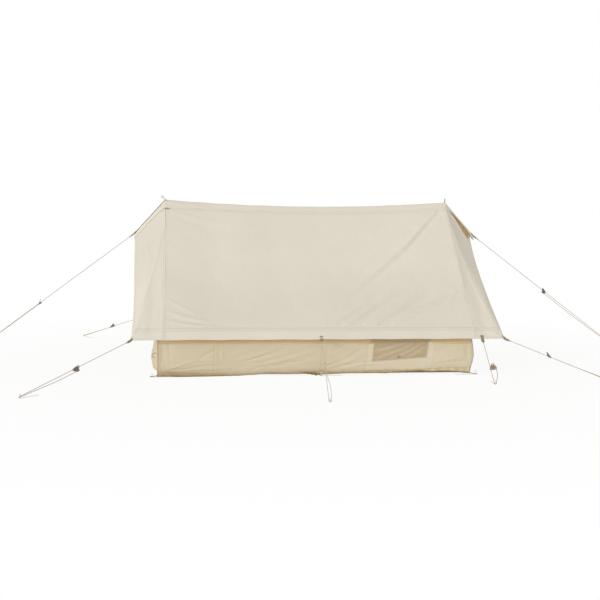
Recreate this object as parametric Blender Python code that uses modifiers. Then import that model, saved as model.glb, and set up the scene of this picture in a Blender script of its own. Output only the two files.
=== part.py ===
# Cotton ridge tent: two uprights, a sagging ridge, low side walls, split doors and guylines.
# Origin at the middle of the floor, on the ground. +X runs along the ridge, -Y is the window side.

import math

import bmesh
import bpy
from mathutils import Matrix, Vector

# Cabin, metres
cabin_length = 2.65
cabin_width = 2.10
ridge_height = 1.49
wall_height = 0.414
ridge_sag = 0.052
slope_hollow = 0.012
eave_reach = 0.098
end_reach_ridge = 0.283
end_reach_eave = 0.244
tip_height = 1.177

# Cloth
cloth = 0.003
cap_cloth = 0.002
net_cloth = 0.001
floor_cloth = 0.002
seam = 0.0003
wall_bulge = 0.016
panel_swell = 0.020
panel_bulge = 0.034
# How far each end's free edges draw in, and how low down they draw in most
edge_hollow = {"left": 0.012, "right": 0.028}
hollow_place = {"left": 1.8, "right": 0.8}
wing_fold = 0.006
wing_crease = 0.6
crease_start = 0.08
net_reach = 0.93
net_slack = 0.0045
net_turn = 0.002
cap_half_end = {"left": 0.070, "right": 0.042}
cap_half_middle = 0.046
tuck_share = 0.97
# Each end's vent: how far the wing's edge hangs below the beak, how far it stops short of the
# beak's tip and how far it drops there
vent_depth = {"left": 0.0, "right": 0.090}
wing_stop = {"left": 0.008, "right": 0.038}
wing_drop = {"left": 0.004, "right": 0.038}
# Beak sections: share of the way out, half width, depth of the fold
beak_sections = {
    "left": [(0.25, 0.056, 0.055), (0.5, 0.044, 0.046), (0.7, 0.035, 0.046), (0.85, 0.028, 0.050),
             (1.0, 0.020, 0.044)],
    "right": [(0.25, 0.036, 0.034), (0.5, 0.032, 0.032), (0.7, 0.026, 0.026), (0.85, 0.024, 0.030),
              (1.0, 0.020, 0.044)],
}

# Floor
floor_lip = 0.030
upstand = 0.045
upstand_gap = 0.0015
floor_skew = -0.033
lean_start = 0.050
peg_strap_length = 0.042
peg_strap_width = 0.020
strap_rise = 0.010
strap_eye = 0.009

# Doors, one pair in each end
door_half_width = 0.56
door_out = 0.021
door_drop = 0.22
door_top_half = 0.010
door_bottom = 0.012
panel_drop = 0.09
panel_step = 0.003
door_split = 0.0005
door_fold = 0.010
zip_width = 0.010
zip_height = 0.024
zip_thick = 0.0045
zip_start = 0.090
zip_pull_length = 0.034
zip_pull_width = 0.006
zip_pull_thick = 0.0016

# Windows, one in each side wall
window_width = 0.47
window_end_margin = 0.395
window_bottom = 0.130
window_top = 0.355
flap_margin = 0.026
flap_gap = 0.0004
flap_cloth = 0.002

# Poles
pole_radius = 0.011
pole_wall = 0.001
pole_clearance = 0.0002
pole_inset = 0.022
pole_notch = 0.002
pole_joint = 0.74
pole_neck = 0.060
foot_radius = 0.0135
foot_base = 0.006
foot_height = 0.030
spike_radius = 0.004
spike_hole_clearance = 0.001
spike_out_right = 0.040
spike_out_left = 0.010
ring_radius = 0.0095
ring_wire = 0.002
ring_lean = math.radians(48)
ring_stem = 0.024

# Guylines
cord_radius = 0.002
strand_gap = 0.044
peg_loop_radius = 0.008
loop_height = 0.011
tab_length = 0.045
tab_inset = 0.016
tab_width = 0.012
tab_thick = 0.007
cord_tail = 0.016
plate_corner = 0.0095
plate_thick = 0.0025
plate_hole = 0.0058
plate_angle = math.radians(36)

# Pegs
peg_wire = 0.0025
peg_length = 0.18
peg_riser = 0.024
peg_bend = 0.006
peg_return = 0.016
peg_floor_gap = 0.0003

# What follows from them
half_length = cabin_length / 2
half_width = cabin_width / 2
roof_slope = (ridge_height - wall_height) / half_width
cloth_drop = cloth * math.hypot(1, roof_slope)
cap_drop = cap_cloth * math.hypot(1, roof_slope)
eave_half = half_width + eave_reach
eave_height = wall_height - roof_slope * eave_reach
tip_x = half_length + end_reach_ridge
eave_x = half_length + end_reach_eave
cap_share = (max(cap_half_end.values()) + 0.020) / half_width
window_right = half_length - window_end_margin
window_left = window_right - window_width
door_x = half_length + door_out
door_top = ridge_height - door_drop
panel_top = ridge_height - panel_drop
pole_x = door_x - pole_inset
eave_middle = eave_height - cloth_drop / 2
tip_middle = tip_height + seam + cap_drop / 2
floor_top = floor_cloth + seam
wall_top = wall_height - cloth_drop - seam
ends = {"left": -1, "right": 1}
sides = {"near": -1, "far": 1}

# Columns along the ridge, shared by the roof and its cap so that they bend alike
roof_columns = [-half_length + cabin_length * k / 26 for k in range(27)]
beak_steps = [0.125, 0.25, 0.375, 0.5, 0.6, 0.7, 0.78, 0.85, 0.93, 1.0]

# Main folds of each roof slope: start and end as (share of half length, share of slope), width, height
roof_folds = [
    ((0.97, 0.12), (0.10, 0.62), 0.070, 0.010),
    ((0.98, 0.14), (0.55, 0.92), 0.060, 0.008),
    ((-0.95, 0.93), (-0.45, 0.62), 0.055, 0.008),
    ((0.95, 0.94), (0.52, 0.70), 0.055, 0.007),
    ((-0.30, 0.30), (0.45, 0.42), 0.090, -0.007),
]

# Main folds of each side wall: start and end as (share of half length, share of height), width, height
wall_folds = [
    ((-0.96, 0.10), (-0.45, 0.85), 0.030, 0.006),
    ((-0.40, 0.15), (0.05, 0.80), 0.030, 0.006),
    ((0.98, 0.75), (0.75, 0.15), 0.030, 0.007),
]

# Guylines: pegs stand these distances out from the eave or the beak that they hold
corner_peg_along = 0.734
corner_peg_out = 0.927
tip_peg_along = 1.568
middle_peg_along = -0.097
middle_peg_out = 1.249
side_guy_along = 0.050
side_peg_along = -0.042
side_peg_out = 0.525
corner_peg = (eave_x + corner_peg_along, eave_half + corner_peg_out)
tip_peg = tip_x + tip_peg_along
side_guy_x = half_length + side_guy_along
middle_peg = (middle_peg_along, -eave_half - middle_peg_out)
side_peg = (side_guy_x + side_peg_along, -eave_half - side_peg_out)

# Each guyline: its end at the tent, its peg, its tensioner's distance from the tent end, how far the tensioner
# and the second strand are turned about the first one, and the cloth that carries it
guylines = {
    "guyline_tip_left": ((-tip_x, 0, tip_middle), (-tip_peg, 0), 1.080, -6, "ridge_cap"),
    "guyline_tip_right": ((tip_x, 0, tip_middle), (tip_peg, 0), 0.907, -15, "ridge_cap"),
    "guyline_left_near": ((-eave_x, -eave_half, eave_middle), (-corner_peg[0], -corner_peg[1]), 0.664,
                          -9, "wing_left_near"),
    "guyline_right_near": ((eave_x, -eave_half, eave_middle), (corner_peg[0], -corner_peg[1]), 0.439,
                           -16, "wing_right_near"),
    "guyline_left_far": ((-eave_x, eave_half, eave_middle), (-corner_peg[0], corner_peg[1]), 0.600,
                         -11, "wing_left_far"),
    "guyline_middle_near": ((0, -eave_half, eave_middle), middle_peg, 0.655, 90, "roof_near"),
    "guyline_side_near": ((side_guy_x, -eave_half, eave_middle), side_peg, 0.415, 10, "wing_right_near"),
}
# Webbing ends that carry no guyline here
spare_tabs = {
    "middle_far": ((0, eave_half, eave_middle), (0, eave_half + middle_peg_out), "roof_far"),
    "right_far": ((eave_x, eave_half, eave_middle), corner_peg, "wing_right_far"),
}


# Scene and helpers
def clear_scene():
    for thing in list(bpy.data.objects):
        bpy.data.objects.remove(thing)


def collection(name):
    made = bpy.data.collections.new(name)
    bpy.context.scene.collection.children.link(made)
    return made


def finish(name, colour, roughness, metallic=0.0):
    made = bpy.data.materials.new(name)
    made.use_nodes = True
    shader = made.node_tree.nodes["Principled BSDF"]
    shader.inputs["Base Color"].default_value = (*colour, 1.0)
    shader.inputs["Roughness"].default_value = roughness
    shader.inputs["Metallic"].default_value = metallic
    return made


def add(name, data, look, group=None):
    made = bpy.data.objects.new(name, data)
    (group or tent).objects.link(made)
    if look:
        data.materials.append(look.copy() if look.name in used_looks else look)
        used_looks.add(look.name)
    return made


def smooth(thing, angle=40):
    thing.data.shade_smooth()
    thing.data.set_sharp_from_angle(angle=math.radians(angle))


def mix(a, b, share):
    return a + (b - a) * share


def cloth_sheet(name, across, along, place, drop, look, group=None):
    """A closed sheet of cloth: place(u, v) is its outer face and drop(u, v) leads to its inner face."""
    bm = bmesh.new()
    bmesh.ops.create_grid(bm, x_segments=len(across) - 1, y_segments=len(along) - 1, size=0.5)
    column = bm.verts.layers.float.new("column")
    row = bm.verts.layers.float.new("row")
    for vert in bm.verts:
        vert[column] = across[round((vert.co.x + 0.5) * (len(across) - 1))]
        vert[row] = along[round((vert.co.y + 0.5) * (len(along) - 1))]
        vert.co = Vector(place(vert[column], vert[row]))
    made = bmesh.ops.extrude_face_region(bm, geom=bm.faces[:])["geom"]
    for vert in (item for item in made if isinstance(item, bmesh.types.BMVert)):
        vert.co += Vector(drop(vert[column], vert[row]))
    bmesh.ops.recalc_face_normals(bm, faces=bm.faces)
    mesh = bpy.data.meshes.new(name)
    bm.to_mesh(mesh)
    bm.free()
    sheet = add(name, mesh, look, group)
    if group:
        hide(sheet)
    smooth(sheet)
    return sheet


def hide(thing):
    thing.hide_render = True
    thing.display_type = "WIRE"


def flat_panel(name, outline, thickness, turn, look, holes=()):
    """A flat outline with round or plain holes, extruded by half its thickness each way."""
    curve = bpy.data.curves.new(name, "CURVE")
    curve.dimensions = "2D"
    curve.fill_mode = "BOTH"
    curve.extrude = thickness / 2
    for loop in [outline, *holes]:
        spline = curve.splines.new("POLY")
        spline.points.add(len(loop) - 1)
        for point, (x, y) in zip(spline.points, loop):
            point.co = (x, y, 0, 1)
        spline.use_cyclic_u = True
    panel = add(name, curve, look)
    panel.matrix_world = turn
    return panel


def tube(name, points, radius, look, sides_level=2):
    """A round wire or cord along points, with filled ends."""
    curve = bpy.data.curves.new(name, "CURVE")
    curve.dimensions = "3D"
    curve.bevel_depth = radius
    curve.bevel_resolution = sides_level
    curve.use_fill_caps = True
    spline = curve.splines.new("POLY")
    spline.points.add(len(points) - 1)
    for point, place in zip(spline.points, points):
        point.co = (*place, 1)
    return add(name, curve, look)


def turned(name, profile, closed, place, look, steps=16):
    """A profile of (radius, height) turned about the upright through place."""
    mesh = bpy.data.meshes.new(name)
    points = [(radius, 0, height) for radius, height in profile]
    edges = [(k, k + 1) for k in range(len(points) - 1)] + ([(len(points) - 1, 0)] if closed else [])
    mesh.from_pydata(points, edges, [])
    made = add(name, mesh, look)
    made.location = place
    screw = made.modifiers.new("turn", "SCREW")
    screw.axis = "Z"
    screw.steps = screw.render_steps = steps
    screw.use_merge_vertices = True
    screw.merge_threshold = 0.00001
    screw.use_smooth_shade = True
    return made


def block(name, size, turn, bevel=0.0):
    """A box in the cutters' collection, to be cut out of a piece or joined to it."""
    bm = bmesh.new()
    bmesh.ops.create_cube(bm, size=1.0, matrix=turn @ Matrix.Diagonal((*size, 1.0)))
    if bevel:
        bmesh.ops.bevel(bm, geom=bm.edges[:], offset=bevel, segments=1, affect="EDGES")
    mesh = bpy.data.meshes.new(name)
    bm.to_mesh(mesh)
    bm.free()
    made = add(name, mesh, None, cutters)
    hide(made)
    return made


def rod(name, radius, length, turn, steps=12):
    """A round cutter."""
    bm = bmesh.new()
    bmesh.ops.create_cone(bm, cap_ends=True, segments=steps, radius1=radius, radius2=radius, depth=length)
    mesh = bpy.data.meshes.new(name)
    bm.to_mesh(mesh)
    bm.free()
    made = add(name, mesh, None, cutters)
    made.matrix_world = turn
    hide(made)
    return made


def combine(piece, tool, operation):
    change = piece.modifiers.new(tool.name, "BOOLEAN")
    change.object = tool
    change.operation = operation
    change.solver = "EXACT"


def frame_along(direction):
    """Unit vectors along a guyline, level across it, and square to both on its upper side."""
    ahead = Vector(direction).normalized()
    across = Vector((0, 0, 1)).cross(ahead).normalized()
    above = ahead.cross(across)
    return ahead, across, above


def matrix_of(x_axis, y_axis, z_axis, place):
    turn = Matrix((x_axis, y_axis, z_axis)).transposed().to_4x4()
    turn.translation = Vector(place)
    return turn


def fold_height(folds, x, rise, height):
    """Sum of the long soft folds at a point x along the tent and rise up or down the cloth."""
    total = 0.0
    for (x0, t0), (x1, t1), width, tall in folds:
        start = Vector((x0 * half_length, t0 * height))
        run = Vector((x1 * half_length, t1 * height)) - start
        share = max(0.0, min(1.0, (Vector((x, rise)) - start).dot(run) / run.length_squared))
        away = (Vector((x, rise)) - start - run * share).length
        total += tall * math.exp(-((away / width) ** 2)) * math.sin(math.pi * (0.15 + 0.7 * share))
    return total


def edge_fade(share, reach=0.18):
    """0 at both ends of a panel and 1 away from them."""
    nearest = max(0.0, min(share, 1 - share)) / reach
    return 1.0 if nearest >= 1 else nearest * nearest * (3 - 2 * nearest)


# Roof
def ridge_line(x):
    return ridge_height - ridge_sag * max(0.0, 1 - (x / half_length) ** 2)


def roof_top(x, side, reach):
    """Outer face of a roof slope. reach is 0 at the ridge, 1 above the side wall and more at the eave."""
    y = max(half_width * reach, seam / 2)
    if reach >= 1:
        return Vector((x, side * y, wall_height - roof_slope * (y - half_width)))
    z = mix(ridge_line(x), wall_height, y / half_width)
    if reach > cap_share:
        share = (reach - cap_share) / (1 - cap_share)
        ends_fade = edge_fade((x + half_length) / cabin_length)
        length = math.hypot(half_width, ridge_height - wall_height)
        z -= slope_hollow * math.sin(math.pi * share) * ends_fade
        z += fold_height(roof_folds, x, reach * length, length) * edge_fade(share) * ends_fade
    return Vector((x, side * y, z))


def make_roof():
    slope_rows = [0.0, cap_share] + [mix(cap_share, 1.0, k / 9) for k in range(1, 10)]
    slope_rows.append(eave_half / half_width)
    for name, side in sides.items():
        slope = cloth_sheet(
            f"roof_{name}", roof_columns, slope_rows,
            lambda x, reach: roof_top(x, side, reach),
            lambda x, reach: (0, 0, -cloth_drop), looks["canvas"])
        for end_name, end in ends.items():
            combine(slope, spike_hole(f"spike_hole_{name}_{end_name}", end), "DIFFERENCE")


def spike_hole(name, end):
    turn = Matrix.Translation((end * pole_x, 0, ridge_height))
    return rod(name, spike_radius + spike_hole_clearance, 0.1, turn)


# Ridge cap with its beaks
def beak_section(end_name, out):
    """Half width and depth of the beak's fold, out being 0 at the upright and 1 at the tip."""
    before = (0.0, cap_half_end[end_name], roof_slope * cap_half_end[end_name])
    for after in beak_sections[end_name]:
        if out <= after[0]:
            share = (out - before[0]) / (after[0] - before[0])
            return mix(before[1], after[1], share), mix(before[2], after[2], share)
        before = after
    return before[1], before[2]


def cap_under(x, side_share):
    """Inner face of the cap: side_share runs from -1 to 1 across it."""
    end_name = "left" if x < 0 else "right"
    if abs(x) <= half_length:
        half = mix(cap_half_middle, cap_half_end[end_name], (x / half_length) ** 2)
        deep = half * (ridge_line(x) - wall_height) / half_width
        top = ridge_line(x)
    else:
        out = (abs(x) - half_length) / end_reach_ridge
        half, deep = beak_section(end_name, out)
        top = mix(ridge_height, tip_height, out)
    return Vector((x, half * side_share, top - deep * abs(side_share) + seam))


def make_ridge_cap():
    beak = [half_length + end_reach_ridge * step for step in beak_steps]
    columns = [-x for x in reversed(beak)] + roof_columns + beak
    cap = cloth_sheet(
        "ridge_cap", columns, [-1.0, -0.5, 0.0, 0.5, 1.0],
        lambda x, share: cap_under(x, share) + Vector((0, 0, cap_drop)),
        lambda x, share: (0, 0, -cap_drop), looks["canvas_cap"])
    for end_name, end in ends.items():
        combine(cap, spike_hole(f"spike_hole_cap_{end_name}", end), "DIFFERENCE")


# End wings, which carry the roof out past the doors
def wing_columns(end_name):
    """Stations from the roof seam to the free edge, the beak's own stations among them."""
    reach = (end_reach_ridge - wing_stop[end_name]) / end_reach_ridge
    return [0.0] + [step / reach for step in beak_steps if step / reach < 0.97] + [1.0]


def wing_edge(end_name, out):
    """Top edge of a wing's outer face on the far side, tucked under the beak at both ends of the vent."""
    x = mix(half_length + seam, tip_x - wing_stop[end_name], out)
    point = cap_under(ends[end_name] * x, tuck_share)
    point.x = x
    point.z -= 2 * seam + wing_drop[end_name] * out * out
    return point


def wing_scoop(end_name, out):
    return vent_depth[end_name] * math.sin(math.pi * out ** 2.2)


def crease(out, down):
    """Share by which a wing stands up along the line from the ridge end to its corner."""
    above = out * (1 - down)
    below = (1 - out) * down * down / (down + crease_start)
    return 0.0 if above * below == 0 else (above ** -4 + below ** -4) ** -0.25


def wing_top(end_name, side, out, down):
    """Outer face of a wing. out is 0 at the roof seam and 1 at its free edge, down is 0 at the vent."""
    seam_top = wing_edge(end_name, 0)
    free_top = wing_edge(end_name, 1)
    reach = mix(seam_top.y, eave_half, down)
    at_seam = Vector((half_length + seam, reach, ridge_height - roof_slope * reach - seam * (1 - down)))
    corner = Vector((eave_x, eave_half, eave_height))
    at_edge = free_top.lerp(corner, down)
    at_edge.x -= edge_hollow[end_name] * math.sin(math.pi * down ** hollow_place[end_name])
    point = at_seam.lerp(at_edge, out)
    straight = seam_top.lerp(free_top, out)
    fall = (corner - free_top).normalized()
    tucked = (wing_edge(end_name, out) - straight) + fall * wing_scoop(end_name, out)
    point += tucked * (1 - down) ** 5
    tip_fall = ridge_height - roof_slope * free_top.y - free_top.z
    point.z += wing_crease * tip_fall * crease(out, down)
    point.z -= wing_fold * math.sin(2 * math.pi * out) * math.sin(math.pi * down)
    return Vector((ends[end_name] * point.x, side * point.y, point.z))


def make_wings():
    rows = [(k / 14) ** 1.15 for k in range(15)]
    for end_name in ends:
        for side_name, side in sides.items():
            cloth_sheet(
                f"wing_{end_name}_{side_name}", wing_columns(end_name), rows,
                lambda out, down: wing_top(end_name, side, out, down),
                lambda out, down: (0, 0, -cloth_drop), looks["canvas"])


# Net that closes the vent, sewn to the wings' top edges and under the cap's beak
def make_vent_nets():
    for end_name, end in ends.items():
        def place(out, share):
            edge = wing_top(end_name, 1, out, 0)
            low = Vector((edge.x, edge.y, edge.z - cloth_drop - seam))
            sewn = min(1.0, (edge.y - net_turn) / cap_under(edge.x, 1.0).y)
            under = cap_under(edge.x, sewn)
            under.z -= net_slack
            ridge = cap_under(edge.x, 0.0)
            ridge.z -= net_slack * 2
            if abs(share) > 0.6:
                point = under.lerp(low, (abs(share) - 0.6) / 0.4)
            else:
                point = ridge.lerp(under, abs(share) / 0.6)
            return Vector((point.x, math.copysign(point.y, share), point.z))
        columns = [out for out in wing_columns(end_name) if out < net_reach]
        net = cloth_sheet(f"vent_net_{end_name}", columns, [-1.0, -0.6, 0.0, 0.6, 1.0],
                          place, lambda out, share: (0, 0, -net_cloth), looks["net"])
        notch = rod(f"pole_notch_{end_name}", pole_radius + pole_notch, 0.1,
                    Matrix.Translation((end * pole_x, 0, ridge_height)))
        combine(net, notch, "DIFFERENCE")


# The cabin's foot stands a little to the left of its roof
def ramp(value, start, stop):
    return max(0.0, min(1.0, (value - start) / (stop - start)))


def lean(x, z):
    """How far the walls stand off sideways at a height: the left corners stay off up to the eave."""
    left = 1 - ramp(z, window_levels[3], wall_top)
    right = 1 - ramp(z, lean_start, wall_top)
    return floor_skew * mix(left, right, (x + half_length) / cabin_length)


def corner_share(y):
    """0 at the doorway and 1 at the side wall."""
    return max(0.0, (abs(y) - door_half_width) / (half_width - door_half_width))


# Side walls with their windows
wall_half = half_length - cloth - seam


def wall_face(x, z):
    """How far the outer face of a side wall stands out from the cabin's width."""
    share = (z - floor_top) / (wall_top - floor_top)
    ends_fade = edge_fade((x + wall_half) / (2 * wall_half), 0.06)
    out = wall_bulge * math.sin(math.pi * share) ** 1.0 * ends_fade
    folds = fold_height(wall_folds, x, z, wall_height) * edge_fade(share, 0.3) * ends_fade
    return half_width + out + folds


def wall_patch(name, side, columns, levels, setback, thickness, look):
    """Cloth that follows a side wall, set back from its outer face."""
    return cloth_sheet(
        name, columns, levels,
        lambda x, z: (x + lean(x, z), side * (wall_face(x, z) - setback), z),
        lambda x, z: (0, -side * thickness, roof_slope * thickness if z == wall_top else 0), look)


def spread(start, end, count):
    """Even stations from start to end."""
    return [mix(start, end, k / count) for k in range(count + 1)]


window_across = spread(window_left, window_right, 6)
window_levels = spread(window_bottom, window_top, 4)
flap_across = [window_left - flap_margin, *window_across, window_right + flap_margin]
flap_levels = [window_bottom - flap_margin, *window_levels, window_top + flap_margin]


def make_side_walls():
    across = spread(-wall_half, flap_across[0], 20)[:-1] + flap_across + spread(flap_across[-1], wall_half, 4)[1:]
    levels = [floor_top, lean_start, *flap_levels, wall_top]
    net_across = [window_left + seam, *window_across[1:-1], window_right - seam]
    net_levels = [window_bottom + seam, *window_levels[1:-1], window_top - seam]
    middle_x = (window_left + window_right) / 2
    for name, side in sides.items():
        wall = wall_patch(f"side_wall_{name}", side, across, levels, 0, cloth, looks["canvas_wall"])
        cut = cloth_sheet(
            f"window_cut_{name}", window_across, window_levels,
            lambda x, z: (x + lean(x, z), side * (half_width + 0.06), z),
            lambda x, z: (0, -side * 0.12, 0), None, cutters)
        combine(wall, cut, "DIFFERENCE")
        wall_patch(f"window_net_{name}", side, net_across, net_levels, cloth - net_cloth, net_cloth,
                   looks["net_window"])
        flap = wall_patch(f"window_flap_{name}", side, flap_across, flap_levels, cloth + flap_gap,
                          flap_cloth, looks["canvas_wall"])
        move_origin(flap, (middle_x, side * (half_width - cloth - flap_gap), flap_levels[-1]))


def move_origin(piece, place):
    """Puts a piece's origin on its joint's axis without moving its mesh."""
    piece.data.transform(Matrix.Translation(-Vector(place)))
    piece.location = place


# End panels and doors
def door_edge(z):
    """Distance from the middle of the doorway to the slanted line where a door half hangs."""
    return mix(door_half_width, door_top_half, (z - door_bottom) / (door_top - door_bottom))


def panel_point(end, side, share, z):
    """Outer face of an end panel: share is 0 at the doorway and 1 at the side wall or the roof."""
    inner = door_edge(z) + seam if z <= door_top else seam / 2
    outer = min(half_width, (ridge_height - cloth_drop - seam - z) / roof_slope)
    y = mix(inner, outer, share)
    rise = ramp(z, floor_top, door_top)
    out = panel_swell * math.sin(math.pi * share) * math.sin(math.pi * rise)
    out += panel_bulge * math.sin(math.pi * share) ** 2 * math.sin(math.pi * ramp(z, floor_top, wall_height))
    out += door_out * (1 - share)
    x = end * (half_length + out)
    return Vector((x + lean(end * half_length, z) * min(1.0, corner_share(y)), side * y, z))


def make_end_panels():
    shares = [0.0, 0.2, 0.42, 0.64, 0.84, 1.0]
    levels = [floor_top, lean_start, flap_levels[0], window_levels[1], window_levels[3], wall_top]
    levels += spread(wall_top, door_top, 5)[1:] + [door_top + panel_step, panel_top]
    for end_name, end in ends.items():
        for side_name, side in sides.items():
            cloth_sheet(
                f"end_panel_{end_name}_{side_name}", shares, levels,
                lambda share, z: panel_point(end, side, share, z),
                lambda share, z: (-end * cloth, 0, 0), looks["canvas_wall"])


def door_point(end, side, share, z):
    """Outer face of a door half: share is 0 at the hanging edge and 1 at the zip."""
    y = mix(door_edge(z), door_split, share)
    level = (z - door_bottom) / (door_top - door_bottom)
    swell = math.sin(math.pi * min(1.0, max(0.0, share * 1.12 - 0.06))) * math.sin(math.pi * level)
    flute = 0.5 + 0.5 * math.cos(3 * math.pi * share)
    return Vector((end * (door_x + door_fold * swell * flute * (1 - level)), side * y, z))


def make_doors():
    shares = [0.0, 0.08, 0.2, 0.34, 0.5, 0.66, 0.8, 0.9, 0.96, 1.0]
    levels = [mix(door_bottom, door_top, k / 8) for k in range(9)]
    for end_name, end in ends.items():
        for side_name, side in sides.items():
            door = cloth_sheet(
                f"door_{end_name}_{side_name}", shares, levels,
                lambda share, z: door_point(end, side, share, z),
                lambda share, z: (-end * cloth, 0, 0), looks["canvas_wall"])
            move_origin(door, (end * door_x, side * door_half_width, door_bottom))
        make_zip_slider(end_name, end)


def make_zip_slider(end_name, end):
    """Zip slider on the near door half: a body, its bridge and a hanging pull."""
    name = f"zip_slider_{end_name}"
    y = -(door_split + seam + zip_width / 2)
    x = end * (door_x + seam + zip_thick / 2)
    bm = bmesh.new()
    bmesh.ops.create_cube(bm, size=1.0, matrix=Matrix.Diagonal((zip_thick, zip_width, zip_height, 1.0)))
    upright = [edge for edge in bm.edges if abs((edge.verts[0].co - edge.verts[1].co).x) > zip_thick / 2]
    bmesh.ops.bevel(bm, geom=upright, offset=zip_width * 0.3, segments=3, affect="EDGES")
    mesh = bpy.data.meshes.new(name)
    bm.to_mesh(mesh)
    bm.free()
    body = add(name, mesh, looks["zip"])
    body.location = (x, y, zip_start)
    pull_size = (zip_pull_thick, zip_pull_width, zip_pull_length)
    pull_place = (x + end * (zip_thick + zip_pull_thick) * 0.45, y, zip_start - zip_pull_length * 0.30)
    pull = block(f"zip_pull_{end_name}", pull_size, Matrix.Translation(pull_place), 0.0005)
    combine(body, pull, "UNION")


# Floor with its upstand and the straps that the wall pegs hold
def floor_outline(grow):
    """Outline that follows the walls' foot, grow metres outside them."""
    corner = half_width + grow
    shift = floor_skew * corner_share(corner)
    right = [(half_length + grow + shift, -corner), (door_x + grow, -door_half_width),
             (door_x + grow, door_half_width), (half_length + grow + shift, corner)]
    left = [(-half_length - grow + shift, corner), (-door_x - grow, door_half_width),
            (-door_x - grow, -door_half_width), (-half_length - grow + shift, -corner)]
    return right + left


def slab(name, grow, low, high, look, group=None):
    """The floor's outline as a solid between two heights."""
    curve = bpy.data.curves.new(name, "CURVE")
    curve.dimensions = "2D"
    curve.fill_mode = "BOTH"
    curve.extrude = (high - low) / 2
    spline = curve.splines.new("POLY")
    outline = floor_outline(grow)
    spline.points.add(len(outline) - 1)
    for point, (x, y) in zip(spline.points, outline):
        point.co = (x, y, 0, 1)
    spline.use_cyclic_u = True
    draft = bpy.data.objects.new(name, curve)
    cutters.objects.link(draft)
    graph = bpy.context.evaluated_depsgraph_get()
    mesh = bpy.data.meshes.new_from_object(draft.evaluated_get(graph))
    bpy.data.objects.remove(draft)
    bm = bmesh.new()
    bm.from_mesh(mesh)
    bmesh.ops.remove_doubles(bm, verts=bm.verts, dist=0.00001)
    bmesh.ops.translate(bm, verts=bm.verts, vec=(0, 0, (high + low) / 2))
    bm.to_mesh(mesh)
    bm.free()
    made = add(name, mesh, look, group)
    if group:
        hide(made)
    return made


def wall_straps():
    """Strap places at the wall's foot: name to (edge, outward direction)."""
    places = {}
    corner = 1 / math.sqrt(2)
    outside = half_width + floor_lip
    shift = floor_skew * corner_share(outside)
    for side_name, side in sides.items():
        for end_name, end in ends.items():
            edge = Vector((end * (half_length + floor_lip) + shift, side * outside, 0))
            places[f"{end_name}_{side_name}"] = (edge, Vector((end * corner, side * corner, 0)))
        places[f"middle_{side_name}"] = (Vector((0, side * outside, 0)), Vector((0, side, 0)))
    return places


def make_floor():
    floor = slab("groundsheet", floor_lip, 0, floor_cloth, looks["floor"])
    inset = -cloth - upstand_gap
    combine(floor, slab("upstand_outside", inset, floor_cloth / 2, floor_cloth + upstand, None, cutters), "UNION")
    combine(floor, slab("upstand_inside", inset - floor_cloth, floor_cloth, 2 * upstand, None, cutters),
            "DIFFERENCE")
    level = 2 * peg_wire + peg_floor_gap + seam + floor_cloth
    stations = [-0.012, -0.001, strap_rise, peg_strap_length]
    for name, (edge, out) in wall_straps().items():
        across = Vector((0, 0, 1)).cross(out)
        strap = cloth_sheet(
            f"strap_{name}", stations, [-0.5, 0.5],
            lambda along, wide: edge + out * along + across * wide * peg_strap_width
            + Vector((0, 0, level if along > 0 else floor_cloth + seam)),
            lambda along, wide: (0, 0, -floor_cloth), None, cutters)
        combine(floor, strap, "UNION")
        hole = block(f"strap_hole_{name}", (strap_eye, strap_eye, 0.05),
                     matrix_of(out, across, (0, 0, 1), strap_hole(edge, out)))
        combine(floor, hole, "DIFFERENCE")


def strap_hole(edge, out):
    return edge + out * (peg_strap_length - 0.012)


# Poles
def make_poles():
    cone_slope = max(roof_slope, (ridge_height - tip_height) / end_reach_ridge)
    for end_name, end in ends.items():
        x = end * pole_x
        under_roof = ridge_line(pole_x) - cloth_drop - seam
        foot = [
            (0, floor_top + foot_base),
            (pole_radius + pole_clearance, floor_top + foot_base),
            (pole_radius + pole_clearance, floor_top + foot_height),
            (foot_radius - 0.001, floor_top + foot_height),
            (foot_radius, floor_top + foot_height - 0.001),
            (foot_radius, floor_top + 0.002),
            (foot_radius - 0.002, floor_top),
            (0, floor_top),
        ]
        turned(f"pole_foot_{end_name}", foot, False, (x, 0, 0), looks["rubber"])
        bottom = floor_top + foot_base + seam
        bore = pole_radius - pole_wall
        neck = bore - pole_clearance
        lower = [
            (neck, pole_joint + pole_neck), (neck, pole_joint + 0.004), (pole_radius, pole_joint),
            (pole_radius, bottom), (bore, bottom), (bore, pole_joint - 0.004),
            (neck - pole_wall, pole_joint + 0.004), (neck - pole_wall, pole_joint + pole_neck),
        ]
        turned(f"pole_lower_{end_name}", lower, True, (x, 0, 0), looks["steel"])
        start = pole_joint + 0.0045
        spike_out = spike_out_right if end > 0 else spike_out_left
        tip = ridge_height + seam + cap_drop + spike_out
        cone_top = under_roof - cone_slope * spike_radius
        cone_foot = under_roof - cone_slope * pole_radius
        upper = [
            (0, tip), (spike_radius * 0.6, tip - 0.0005), (spike_radius, tip - 0.004),
            (spike_radius, cone_top), (pole_radius, cone_foot), (pole_radius, start), (bore, start),
            (bore, cone_foot - 0.010), (0, cone_foot - 0.010),
        ]
        pole = turned(f"pole_upper_{end_name}", upper, False, (x, 0, 0), looks["steel"])
        if end < 0:
            add_ring(pole, end)


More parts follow.
